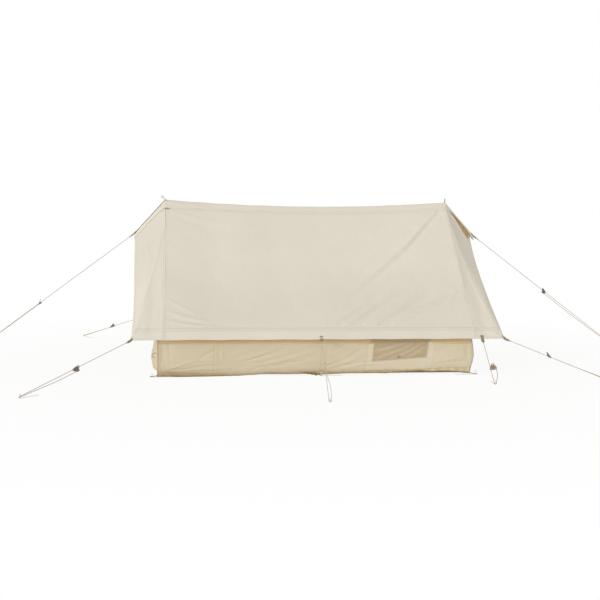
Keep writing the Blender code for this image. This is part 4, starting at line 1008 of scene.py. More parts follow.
def makeWing(end, side):
    endTo, sideTo = endSign[end], sideSign[side]
    out = np.concatenate([np.linspace(0, 0.94, 40), [0.955, 0.97, 0.985, 1.0]])
    down = np.linspace(0, 1, 176) ** 1.05
    gridOut, gridDown = np.meshgrid(out, down, indexing="ij")
    points = wingSurface(end, gridOut, gridDown)
    normals = gridNormals(points, (0, 1, 1))
    x, s = points[..., 0].copy(), points[..., 1].copy()
    relief = 1.1 * strokeRelief(x, s, wingForm[f"{end}Folds"])
    relief += rumple(x, s, 23 + 3 * (end == "left") + (side == "near"), 0.0022, 0.5, 0.10, count=14,
                     stretch=(0.45, 1.0))
    relief *= smooth(gridDown, 0.0, 0.06) * smooth(1 - gridDown, 0, 0.03) * smooth(gridOut, 0, 0.08)
    relief *= 1 - 0.7 * smooth(gridOut, 0.93, 1.0)
    relief += bandRelief(s) * smooth(1 - gridOut, 0.0, 0.04)
    points = points + normals * relief[..., None]
    points *= np.array([endTo, sideTo, 1])
    tone = bandTone(s) - 0.12 * np.exp(-(gridOut / 0.02) ** 2)
    # painted shade: the left wing is darker near its top, the right one near its seam
    tone = tone - (0.22 * (1 - smooth(s, 0.30, 0.80)) if end == "left" else 0.18 * (1 - smooth(gridOut, 0.30, 0.60)))
    wing = makeSheet(f"wingCloth_{end}_{side}", points, (endTo * x, s * steep), finishes["wing"],
                     outward=(0, sideTo, 1), thick=tentShape["clothThick"], tone=tone)
    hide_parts(f"wing_{end}_{side}")
    hemPaths[side, end] = points[:, -1]
    edgeNormals = gridNormals(points, (0, sideTo, 1))
    inner = points[-1] - points[-5]
    inner = inner / np.linalg.norm(inner, axis=1, keepdims=True)
    freeHem = makeStrip(f"freeHem_{end}_{side}", points[-1][2:] - inner[2:] * 0.0085 + edgeNormals[-1][2:] * 0.0004,
                        edgeNormals[-1][2:], 0.016, 0.0014, finishes["hem"], sink=2.2, tone=0.15)
    mouth = points[:, 0] + edgeNormals[:, 1] * 0.0006 + (points[:, 4] - points[:, 0]) * 0.15
    mouthHem = makeStrip(f"mouthHem_{end}_{side}", mouth[1:-1], edgeNormals[1:-1, 1], 0.010, 0.0012, finishes["hem"],
                         sink=2.0, tone=0.1)
    if end == "left":
        # the flat seam's doubled cloth lies on the wing's side of the stitching
        wide = roofForm["seamTape"]["left"]
        reach = np.abs(points[-1, :, 0] - points[0, :, 0])
        place = np.clip(wide * 0.52 / np.maximum(reach, 0.05), 0, 0.9) * (len(out) - 5) / 0.94
        low = np.clip(place.astype(int), 0, len(out) - 2)
        line = np.arange(points.shape[1])
        share = (place - low)[:, None]
        path = points[low, line] * (1 - share) + points[low + 1, line] * share
        makeStrip(f"seamTape_{end}_{side}", path[4:-2] + edgeNormals[3][4:-2] * 0.0006,
                              edgeNormals[3][4:-2], wide, 0.0008, finishes["tape"], sink=2.0, tone=0.10)


def makeEaveHem(side):
    sideTo = sideSign[side]
    left, roof, right = hemPaths[side, "left"], hemPaths[side, "roof"], hemPaths[side, "right"]
    path = np.vstack([left[::-1][:-1], roof[1:-1], right[1:]])
    up = np.array([0, -sideTo / steep, slope / steep])
    makeStrip(f"eaveHem_{side}", path[2:-2] + up * 0.0085 + slopeOut[side] * 0.0006, slopeOut[side], 0.018, 0.0016,
              finishes["hem"], sink=2.2, tone=0.12)


makeRidgeCap()
for side in sideSign:
    makeRoofSlope(side)
    for end in endSign:
        makeWing(end, side)
    makeEaveHem(side)
print("roof and wings sewn")


# Nets that close the vents under the beaks
ventForm = {"reach": 0.995, "slack": 0.0045, "turn": 0.002, "fold": 0.6, "poleRoom": 0.014}


def makeVentNet(end):
    sign = endSign[end]
    out = np.linspace(0, ventForm["reach"], 46)
    share = np.linspace(-1, 1, 33)
    edge = wingSurface(end, out, np.zeros(len(out)))
    low = edge - np.array([0, 0, clothDrop + seamGap])
    sewn = np.minimum(1, (edge[:, 1] - ventForm["turn"]) / capUnder(sign * edge[:, 0], 1.0)[:, 1])
    under, ridge = capUnder(sign * edge[:, 0], sewn), capUnder(sign * edge[:, 0], 0.0)
    under[:, 2] -= ventForm["slack"]
    ridge[:, 2] -= 2 * ventForm["slack"]
    under[:, 0] = ridge[:, 0] = edge[:, 0]
    size = np.abs(share)[None, :, None]
    fold = ventForm["fold"]     # where the net turns from under the cap to the wing's mouth
    points = np.where(size > fold, under[:, None] + (low - under)[:, None] * (size - fold) / (1 - fold),
                      ridge[:, None] + (under - ridge)[:, None] * size / fold)
    gridOut, gridShare = np.meshgrid(out, share, indexing="ij")
    bag = rumple(gridOut * 0.3, gridShare * 0.1, 51, 0.0012, 0.12, 0.03) * edgeFade(gridOut / ventForm["reach"], 0.2)
    points[..., 2] -= 0.002 * np.sin(pi * np.clip(size[..., 0] / fold, 0, 1)) * edgeFade(gridOut, 0.2) + np.abs(bag)
    points *= np.array([sign, 1, 1])
    points[..., 1] *= np.sign(gridShare)
    middle = (points[:-1, :-1] + points[1:, 1:]) / 2
    # a hole for the upright
    poleX = sign * (doorX - tentShape["poleInset"])
    keep = np.hypot(middle[..., 0] - poleX, middle[..., 1]) > ventForm["poleRoom"]
    net = makeSheet(f"ventMesh_{end}", points, (gridOut * 0.40, gridShare * 0.12), finishes["ventNet"],
                    keep=keep)
    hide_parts(f"vent_net_{end}")


for end in endSign:
    makeVentNet(end)
print("vent nets sewn")


# The foot of the cloth walls: how high the groundsheet's edge stands along each long side
footForm = {
    "x": (-1.34, -1.17, -1.01, -.84, -.68, -.49, -.38, -.26, -.13, -.02, .17, .39, .56, .69, .86, .95, 1.10, 1.30),
    "top": (.038, .032, .026, .019, .015, .024, .031, .028, .037, .036, .026, .037, .040, .039, .044, .048, .055, .057),
    "bottom": (.001, .001, .001, .001, .002, .013, .013, .011, .014, .003, .012, .018, .013, .020, .031, .023, .025,
               .006),
}


def footEdge(x, side, which):
    # the far side has the same kind of wave the other way round
    x = np.asarray(x, float)
    place = x if side == "near" else -x
    level = np.interp(place, footForm["x"], footForm[which])
    wave = 0.0009 * np.sin(2 * pi * place / 0.213 + 1.0) + 0.0007 * np.sin(2 * pi * place / 0.091)
    if which == "top":
        level = level + wave
    return np.maximum(level + 0.3 * wave, 0.001 if which == "bottom" else 0.008)


# Side walls
wallForm = {
    "bulge": 0.016, "window": (0.46, 0.93, 0.130, 0.355), "facing": (0.414, 0.992), "toggle": (0.672, 0.150),
    "seams": (-0.862, -0.830, 0.036, 0.071),
    "pushLevels": (0, .051, .10, .154, .22, .284, .35, .41), "push": (.006, .013, .024, .029, .019, .003, -.007, -.008),
    "pressed": [
        ([(0.45, 0.20), (0.59, 0.23), (0.76, 0.28)], (.013, .012), .9),
        ([(0.47, 0.14), (0.59, 0.18), (0.71, 0.22), (0.81, 0.27)], (.010, .012), .9),
        ([(0.59, 0.13), (0.69, 0.17), (0.78, 0.21), (0.89, 0.28)], (.010, .013), .8),
        ([(0.75, 0.15), (0.83, 0.19), (0.91, 0.24)], (.010, .010), .8),
    ],
    "nearFolds": [
        ([(-1.02, 0.14), (-0.97, 0.17), (-0.90, 0.21), (-0.85, 0.25)], (.01, .012), -.006),
        ([(-1.29, 0.02), (-1.19, 0.07), (-1.11, 0.11), (-0.98, 0.13)], (.01, .014), .0065),
        ([(-1.29, 0.03), (-1.13, 0.04), (-0.97, 0.08), (-0.79, 0.09)], (.007, .01), -.0058),
        ([(-1.24, 0.01), (-1.01, 0.04), (-0.72, 0.06)], (.007, .01), .005),
        ([(-1.32, 0.26), (-1.31, 0.20), (-1.32, 0.12)], (.009, .009), -.005),
        ([(-1.27, 0.26), (-1.26, 0.20), (-1.27, 0.13)], (.008, .01), -.0042),
        ([(-0.83, 0.20), (-0.82, 0.16), (-0.81, 0.13)], (.014, .016), .0045),
        ([(-0.82, 0.22), (-0.74, 0.24), (-0.65, 0.26)], (.008, .01), -.005),
        ([(-0.71, 0.16), (-0.58, 0.20), (-0.44, 0.24), (-0.37, 0.27)], (.008, .012), -.0062),
        ([(-0.68, 0.13), (-0.54, 0.17), (-0.41, 0.22), (-0.32, 0.25)], (.008, .012), .005),
        ([(-0.65, 0.12), (-0.53, 0.15), (-0.38, 0.20), (-0.24, 0.24)], (.008, .011), -.006),
        ([(-0.55, 0.10), (-0.38, 0.14), (-0.20, 0.19), (-0.02, 0.24)], (.008, .012), -.006),
        ([(-0.49, 0.08), (-0.30, 0.13), (-0.09, 0.19), (0.01, 0.22)], (.009, .013), .0055),
        ([(-0.44, 0.05), (-0.26, 0.10), (-0.07, 0.15)], (.009, .012), -.0042),
        ([(-0.59, 0.03), (-0.49, 0.07), (-0.34, 0.09)], (.009, .012), -.004),
        ([(0.20, 0.13), (0.27, 0.17), (0.36, 0.23)], (.007, .01), -.0062),
        ([(0.22, 0.10), (0.31, 0.15), (0.39, 0.20)], (.008, .01), .0048),
        ([(0.04, 0.05), (0.13, 0.10), (0.20, 0.13)], (.008, .009), -.0045),
        ([(0.09, 0.03), (0.21, 0.07), (0.34, 0.11), (0.51, 0.13)], (.007, .01), -.0058),
        ([(0.21, 0.03), (0.36, 0.08), (0.56, 0.10)], (.007, .01), .0045),
        ([(0.08, 0.16), (0.17, 0.21), (0.25, 0.26)], (.01, .012), .0035),
        ([(1.00, 0.20), (1.04, 0.22), (1.09, 0.25)], (.007, .009), -.0055),
        ([(1.01, 0.10), (1.14, 0.13), (1.26, 0.15)], (.008, .01), .0038),
        ([(1.03, 0.07), (1.16, 0.09), (1.28, 0.10)], (.006, .008), -.0036),
        ([(1.27, 0.24), (1.27, 0.19), (1.28, 0.12)], (.007, .009), -.0055),
        ([(1.23, 0.24), (1.23, 0.18), (1.24, 0.10)], (.008, .01), .003),
        ([(-1.30, 0.11), (-0.65, 0.11), (0.00, 0.11)], (.005, .005), -.0030),
    ],
    "farFolds": [
        ([(1.32, 0.01), (1.12, 0.11), (0.93, 0.22)], (.007, .013), .0060),
        ([(1.30, 0.01), (0.98, 0.06), (0.70, 0.12)], (.006, .011), .0052),
        ([(1.01, 0.08), (0.72, 0.16), (0.42, 0.26)], (.007, .013), .0060),
        ([(0.64, 0.05), (0.28, 0.13), (-0.04, 0.23)], (.007, .013), .0058),
        ([(0.33, 0.04), (-0.02, 0.10), (-0.36, 0.19)], (.007, .012), .0055),
        ([(-0.20, 0.06), (-0.55, 0.11), (-0.90, 0.21)], (.007, .012), .0052),
        ([(-0.93, 0.07), (-1.12, 0.11), (-1.29, 0.15)], (.007, .012), .0050),
        ([(0.60, 0.15), (0.75, 0.27)], (.010, .014), .0045),
        ([(0.73, 0.14), (0.90, 0.26)], (.010, .014), .0045),
    ],
}
wallHalf = halfLength - 0.003 - seamGap


def ramp(value, start, stop):
    return np.clip((value - start) / (stop - start), 0, 1)


def lean(x, z):
    left = 1 - ramp(z, tentShape["leanStop"], wallTop)
    right = 1 - ramp(z, tentShape["leanStart"], wallTop)
    return tentShape["floorSkew"] * mix(left, right, (x + halfLength) / tentShape["length"])


def endPush(x, z):
    # the right end stands out like a belly low down and draws in under the eave
    push = np.interp(z, wallForm["pushLevels"], wallForm["push"])
    return push * smooth(x, halfLength - 0.16, halfLength)


def wallFace(x, z):
    share = (z - floorTop) / (wallTop - floorTop)
    return halfWidth + wallForm["bulge"] * np.sin(pi * share) * edgeFade((x + wallHalf) / (2 * wallHalf), 0.06)


def wallRelief(x, z, side):
    relief = 1.15 * strokeRelief(x, z, wallForm[f"{side}Folds"])
    relief += rumple(x, z, 31 + (side == "far"), 0.0024, 0.5, 0.08, count=18, stretch=(1.6, 0.7))
    relief += 0.0006 * np.sin(2 * pi * (x * 0.9 - z * 0.6) / 0.030) * smooth(0.085 - z, 0, 0.05)
    for level in wallForm["seams"]:
        relief += 0.0010 * smooth(x, level - 0.003, level + 0.003) * smooth(level + 0.016 - x, 0, 0.004)
    return relief


def windowPull(x, z):
    # the slack wall carries its window a little to one side and lets its lower edge hang askew
    left, right, low, high = wallForm["window"]
    near = smooth(x, left - 0.16, left) * smooth(right + 0.16 - x, 0, 0.16)
    across = (0.011 + 0.010 * ramp(z, low, high)) * near * smooth(z, 0.02, low) * smooth(wallTop + 0.04 - z, 0, 0.06)
    down = 0.017 * np.clip((x - (left + right) / 2) / 0.235, -1, 1) * near
    down = down * smooth(z, 0.03, low) * smooth(high + 0.02 - z, 0, high - low)
    return across, down


def wallPoints(x, z, side, setback=0.0, share=1.0):
    # the wall's face in the world, from its grid of x and z
    gridX, gridZ = np.meshgrid(x, z, indexing="ij") if np.ndim(x) == 1 else (x, z)
    skewed = gridX + lean(gridX, gridZ) + endPush(gridX, gridZ)
    hold = smooth(gridZ, floorTop, 0.05) * smooth(wallTop - gridZ, -0.01, 0.05)
    y = wallFace(gridX, gridZ) + share * wallRelief(skewed, gridZ, side) * hold - setback
    across, down = windowPull(gridX, gridZ)
    return np.stack([skewed + across, sideSign[side] * y, gridZ + down], axis=-1), gridX, gridZ


def wallPath(x, z, side, share=1.0):
    # one line along the wall's face
    x, z = np.broadcast_arrays(np.asarray(x, float), np.asarray(z, float))
    return wallPoints(x[None], z[None], side, share=share)[0][0]


def makeSideWall(side):
    left, right, low, high = wallForm["window"]
    seamStops = [stop + step for stop in wallForm["seams"] for step in (-0.003, 0.003, 0.012, 0.016)]
    x = stations(-wallHalf, wallHalf, 0.0066, [left, right, *wallForm["facing"], *seamStops])
    z = stations(floorTop, wallTop, 0.0058, [0.05, low, high])
    points, gridX, gridZ = wallPoints(x, z, side)
    # the foot of the wall stands on the wavy edge of the groundsheet
    foot = footEdge(points[..., 0], side, "top") - 0.004
    points[..., 2] += (foot - floorTop) * smooth(floorTop + 0.14 - gridZ, 0, 0.14) * 0.999
    middleX, middleZ = (gridX[:-1, :-1] + gridX[1:, 1:]) / 2, (gridZ[:-1, :-1] + gridZ[1:, 1:]) / 2
    keep = ~((middleX > left) & (middleX < right) & (middleZ > low) & (middleZ < high))
    # painted light and shade: the wall is lighter towards one end and darker at the other
    tone = mix(-0.08, 0.38, smooth(gridX if side == "near" else -gridX, -0.4, 1.0))
    for level in (*wallForm["facing"], *wallForm["seams"]):
        tone -= 0.45 * np.exp(-((gridX - level) / 0.004) ** 2)
    tone -= 0.35 * smooth(0.05 - gridZ, 0, 0.04)
    # the doubled cloth round the window is paler
    start, stop = wallForm["facing"]
    tone += 0.35 * smooth(gridX, start, start + 0.004) * smooth(stop - gridX, 0, 0.004)
    outwards = np.array([0, sideSign[side], 0])
    wall = makeSheet(f"sideWall_{side}", points, (points[..., 0], gridZ), finishes["wall"],
                     outward=outwards, keep=keep, tone=tone)
    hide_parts(f"side_wall_{side}")
    # binding round the window
    around = [(left, low), (left, high), (right, high), (right, low), (left, low)]
    for number, (start, stop) in enumerate(zip(around, around[1:])):
        path = wallPath(*(np.linspace(start[axis], stop[axis], 40) for axis in (0, 1)), side)
        makeStrip(f"windowBinding_{side}_{number}", path + outwards * 0.0002, outwards, 0.010, 0.0009,
                              finishes["wallTape"], sink=1.8, tone=-0.05)
    # corner tapes, each with a brown bead of piping at the very edge
    for end, sign in endSign.items():
        path = wallPath(sign * (wallHalf - 0.001), np.linspace(0.034, wallTop - 0.01, 50), side, share=0.3)
        makeStrip(f"cornerPiping_{end}_{side}", path + outwards * 0.0012, outwards, 0.0046, 0.0014,
                              finishes["piping"], sink=1.2)
        path = wallPath(sign * (wallHalf - 0.009), np.linspace(0.02, wallTop - 0.01, 50), side, share=0.3)
        makeStrip(f"cornerTape_{end}_{side}", path + outwards * 0.0008, outwards, 0.020, 0.0014,
                              finishes["wallTape"], sink=1.6, tone=0.25)
    # a tan band along the wall under the eave is painted shade, the eave's warm shade; it is wavy at its lower edge,
    # narrower over the window and painted darker there
    bandX = stations(-wallHalf + 0.006, wallHalf - 0.006, 0.012)
    bandX, bandShare = np.meshgrid(bandX, np.linspace(0, 1, 12), indexing="ij")
    bandLow = (0.268 + 0.0030 * np.sin(2 * pi * bandX / 0.71 + 0.4) + 0.0014 * np.sin(2 * pi * bandX / 0.19)
               - 0.0035 * bandX)
    overWindow = smooth(bandX, left - 0.06, left + 0.02) * smooth(right + 0.05 - bandX, 0, 0.08)
    bandLow = bandLow + 0.016 * overWindow
    band = wallPoints(bandX, mix(bandLow, wallTop - 0.003, bandShare), side, setback=-0.0014)[0]
    makeSheet(f"eaveShadeBand_{side}", band, (bandX, bandShare * 0.12), finishes["eaveShadeBand"],
                          outward=outwards, thick=0.0012, tone=-1.6 * overWindow)


def makeWindow(side):
    left, right, low, high = wallForm["window"]
    x, z = np.linspace(left, right, 80), np.linspace(low, high, 42)
    points, gridX, gridZ = wallPoints(x, z, side, setback=0.0008)
    across = points[..., 0] if side == "near" else left + right - points[..., 0]
    press = strokeRelief(across, points[..., 2], wallForm["pressed"])
    hold = edgeFade((gridX - left) / (right - left), 0.1)
    points[..., 1] += sideSign[side] * (0.0030 * press - 0.001) * hold
    # the net is painted paler where the cloth behind presses it out: painted light
    net = makeSheet(f"windowMesh_{side}", points, (gridX, gridZ), finishes["windowNet"],
                    outward=(0, sideSign[side], 0), tone=np.clip(press, 0, 1))
    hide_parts(f"window_net_{side}")
    margin = 0.026
    x, z = np.linspace(left - margin, right + margin, 84), np.linspace(low - margin, high + margin, 46)
    points, gridX, gridZ = wallPoints(x, z, side, setback=0.0048)
    flap = makeSheet(f"windowFlap_{side}", points, (gridX, gridZ), finishes["wall"],
                     body=f"window_flap_{side}", outward=(0, sideSign[side], 0), thick=0.0012)
    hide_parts(f"window_flap_{side}")


def makeToggle(side):
    # small toggle and its loop in the middle of the window's lower edge
    sign = sideSign[side]
    x, z = wallForm["toggle"]
    place = np.array([x, sign * (float(wallFace(x, z)) + 0.009), z])
    turns = np.linspace(0, 1, 16)
    bar = np.column_stack([place[0] + mix(-0.011, 0.011, turns), np.full(16, place[1]), place[2] + 0.003 * turns])
    curvePiece(f"windowToggle_{side}", bar, 0.0024, finishes["plateBrown"])
    angles = np.linspace(0, pi, 20)
    loop = np.column_stack([place[0] + 0.004 * np.cos(angles), place[1] - sign * 0.010 * (1 - np.sin(angles)),
                            place[2] + 0.018 - 0.020 * np.sin(angles)])
    curvePiece(f"toggleLoop_{side}", loop, 0.0011, finishes["cord"])


for side in sideSign:
    makeSideWall(side)
    makeWindow(side)
    makeToggle(side)
print("side walls sewn")


# End panels, doors and their zips
endForm = {
    "doorHalf": 0.56, "doorTop": 1.27, "doorTopHalf": 0.010, "doorBottom": 0.012, "panelTop": 1.40,
    "swell": 0.020, "bulge": 0.034, "out": 0.021, "split": 0.0005, "doorFold": 0.010,
}
zipForm = {
    "pitch": 0.0062, "footGap": 0.006, "topGap": 0.10, "depth": (0.0002, 0.0019),
    "tapeStart": 0.0055, "tapeWidth": 0.022,
    "tooth": [(0.0052, -0.0012), (0.0052, 0.0012), (0.0022, 0.0014), (0.0010, 0.0006), (0.0010, -0.0006),
              (0.0022, -0.0014)],
}


def doorLevel(z):
    return (z - endForm["doorBottom"]) / (endForm["doorTop"] - endForm["doorBottom"])


def doorEdge(z):
    return mix(endForm["doorHalf"], endForm["doorTopHalf"], doorLevel(z))


def cornerShare(y):
    # 0 at the doorway's foot, 1 at the tent's corner
    return np.maximum(0, (np.abs(y) - endForm["doorHalf"]) / (halfWidth - endForm["doorHalf"]))


def panelSurface(end, side, share, z):
    share, z = np.broadcast_arrays(np.asarray(share, float), np.asarray(z, float))
    sign = endSign[end]
    inner = np.where(z <= endForm["doorTop"], doorEdge(z) + seamGap, seamGap / 2)
    outer = np.minimum(halfWidth, (ridgeHeight - clothDrop - seamGap - z) / slope)
    y = mix(inner, outer, share)
    rise = ramp(z, floorTop, endForm["doorTop"])
    out = endForm["swell"] * np.sin(pi * share) * np.sin(pi * rise)
    out = out + endForm["bulge"] * np.sin(pi * share) ** 2 * np.sin(pi * ramp(z, floorTop, wallHeight))
    if end == "left":
        # slack cloth beside the corner
        out = out + 0.034 * np.sin(pi * share ** 1.6) ** 2 * smooth(z, 0.010, 0.060) * (1 - smooth(z, 0.13, 0.31))
    out = out + endForm["out"] * (1 - share)
    corner = np.minimum(1, cornerShare(y))
    x = sign * (halfLength + out) + lean(sign * halfLength, z) * corner
    if end == "right":
        x = x + endPush(halfLength, z) * corner
    return np.stack([x, sideSign[side] * y, z], axis=-1)


def makeEndPanel(end, side):
    share = np.linspace(0, 1, 76)
    z = stations(floorTop, endForm["panelTop"], 0.0095, [wallTop, endForm["doorTop"], endForm["doorTop"] + 0.003])
    gridShare, gridZ = np.meshgrid(share, z, indexing="ij")
    points = panelSurface(end, side, gridShare, gridZ)
    across = np.abs(points[..., 1])
    folds = [
        ([(0.98, 0.03), (0.86, 0.20), (0.76, 0.38)], (.008, .016), .0050),
        ([(0.62, 0.02), (0.70, 0.16), (0.84, 0.36)], (.008, .015), .0045),
        ([(1.00, 0.10), (0.93, 0.26), (0.90, 0.40)], (.008, .014), .0045),
        ([(0.56, 0.18), (0.62, 0.42), (0.60, 0.70)], (.010, .020), .0040),
        ([(1.02, 0.40), (0.80, 0.56), (0.55, 0.66)], (.010, .022), .0045, "ray"),
        ([(0.72, 0.02), (0.76, 0.22), (0.80, 0.44)], (.008, .012), -.0035),
        ([(0.98, 0.02), (0.97, 0.20), (0.98, 0.40)], (.009, .010), -.0060),
        ([(0.90, 0.02), (0.91, 0.20), (0.89, 0.42)], (.012, .012), .0065),
        ([(0.84, 0.02), (0.84, 0.18), (0.85, 0.36)], (.009, .010), -.0050),
    ]
    relief = strokeRelief(across, gridZ, folds)
    relief += rumple(across, gridZ, 61 + 2 * (end == "left") + (side == "near"), 0.0022, 0.4, 0.07, count=16)
    relief *= edgeFade(gridShare, 0.10) * smooth(gridZ, 0, 0.04) * smooth(endForm["panelTop"] - gridZ, 0, 0.1)
    points[..., 0] += endSign[end] * relief
    panel = makeSheet(f"endPanel_{end}_{side}", points, (across, gridZ), finishes["wall"],
                      outward=(endSign[end], 0, 0), thick=0.0012)
    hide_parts(f"end_panel_{end}_{side}")
    # tape that carries the door along its slanted edge
    run = np.linspace(0.02, endForm["doorTop"] - 0.02, 90)
    path = panelSurface(end, side, 0.0, run)
    slant = unit([0, sideSign[side] * (endForm["doorTop"] - endForm["doorBottom"]),
                  endForm["doorHalf"] - endForm["doorTopHalf"]])
    path = path + slant * 0.011 + np.array([endSign[end] * 0.0016, 0, 0])
    tape = makeStrip(f"doorTape_{end}_{side}", path, (endSign[end], 0, 0), 0.018, 0.0012, finishes["wallTape"],
                     sink=1.6, tone=0.1)


def doorSurface(end, side, share, z):
    share, z = np.broadcast_arrays(np.asarray(share, float), np.asarray(z, float))
    y = mix(doorEdge(z), endForm["split"], share)
    level = doorLevel(z)
    swell = np.sin(pi * np.clip(share * 1.12 - 0.06, 0, 1)) * np.sin(pi * level)
    flute = 0.5 + 0.5 * np.cos(3 * pi * share)
    x = endSign[end] * (doorX + endForm["doorFold"] * swell * flute * (1 - level))
    return np.stack([x, sideSign[side] * y, z], axis=-1)


def makeTeeth(end, side, body):
    # one half of the zip's teeth, each a small block with a rounded nose, set between those of the other half
    pitch, tooth = zipForm["pitch"], zipForm["tooth"]
    count = len(tooth)
    first = endForm["doorBottom"] + zipForm["footGap"] + (pitch / 2 if side == "far" else 0)
    verts, faces = [], []
    for level in np.arange(first, endForm["doorTop"] - zipForm["topGap"], pitch):
        back = range(len(verts), len(verts) + count)
        front = range(back.stop, back.stop + count)
        verts += [(endSign[end] * (doorX + depth), sideSign[side] * aside, level + high)
                  for depth in zipForm["depth"] for aside, high in tooth]
        faces += [(back[k - 1], back[k], front[k], front[k - 1]) for k in range(count)]
        faces += [tuple(back)[::-1], tuple(front)]
    mesh = bpy.data.meshes.new(f"zipTeeth_{end}_{side}")
    mesh.from_pydata(verts, [], faces)
    reworkMesh(mesh, turnOutwards)
    return addPiece(f"zipTeeth_{end}_{side}", mesh, finishes["brass"], body)


def makeDoor(end, side):
    endTo, sideTo = endSign[end], sideSign[side]
    body = f"door_{end}_{side}"
    share = np.linspace(0, 1, 70)
    z = np.linspace(endForm["doorBottom"], endForm["doorTop"], 150)
    gridShare, gridZ = np.meshgrid(share, z, indexing="ij")
    points = doorSurface(end, side, gridShare, gridZ)
    across = np.abs(points[..., 1])
    folds = [
        ([(.50, .05), (.36, .30), (.16, .62)], (.008, .018), .0050),
        ([(.30, .04), (.22, .34), (.10, .70)], (.008, .016), .0045),
        ([(.06, .10), (.16, .30), (.30, .46)], (.008, .016), .0040),
        ([(.04, .40), (.12, .58), (.20, .72)], (.008, .014), .0035),
        ([(.44, .02), (.40, .16), (.36, .26)], (.007, .010), -.0030),
    ]
    relief = strokeRelief(across, gridZ, folds)
    relief += rumple(across, gridZ, 71 + 2 * (end == "left") + (side == "near"), 0.0020, 0.4, 0.06, count=16)
    # flat beside the zip, so that the slider runs free up to its stop
    relief *= smooth(across, 0.022, 0.040) * edgeFade(gridShare, 0.10) * edgeFade(doorLevel(gridZ), 0.05)
    points[..., 0] += endTo * np.maximum(relief, -0.001)
    door = makeSheet(f"doorCloth_{end}_{side}", points, (across, gridZ), finishes["door"], body=body,
                     outward=(endTo, 0, 0), thick=0.0012)
    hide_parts(body)
    outwards = np.array([endTo, 0, 0])
    run = np.linspace(endForm["doorBottom"] + 0.004, endForm["doorTop"] - 0.012, 130)
    wide = np.clip(2 * (doorEdge(run) - 0.006), 0.004, zipForm["tapeWidth"])
    path = np.column_stack([np.full(130, endTo * (doorX + 0.0004)), sideTo * (zipForm["tapeStart"] + wide / 2), run])
    sewn = [makeStrip(f"zipTape_{end}_{side}", path, outwards, wide, 0.0009, finishes["zipTape"],
                      body=body, sink=1.0)]
    path = doorSurface(end, side, np.linspace(0.01, 0.99, 60), endForm["doorBottom"] + 0.011)
    sewn.append(makeStrip(f"doorHem_{end}_{side}", path + outwards * 0.0006, outwards, 0.020, 0.0012,
                          finishes["wallTape"], body=body, sink=1.6))
    sewn.append(makeTeeth(end, side, body))


finishes["zipTape"] = webbingFinish("zipTape", (0.30, 0.235, 0.15), (0.20, 0.15, 0.09))
for end in endSign:
    for side in sideSign:
        makeEndPanel(end, side)
        makeDoor(end, side)
print("ends and doors sewn")


# Groundsheet: floor, the turned-up edge that shows along the walls, inner upstand and peg straps
floorForm = {
    "grow": 0.012, "rise": 0.10, "upstand": 0.047, "strapLength": 0.042, "strapWidth": 0.020, "lip": 0.030,
    "strapLevel": 0.0076,
}


def floorHalf(y, end, grow):
    # distance of the floor's end from the middle, at a place across the tent
    corner = np.minimum(1, cornerShare(y))
    return endSign[end] * (mix(doorX, halfLength, corner) + grow) + tentShape["floorSkew"] * corner


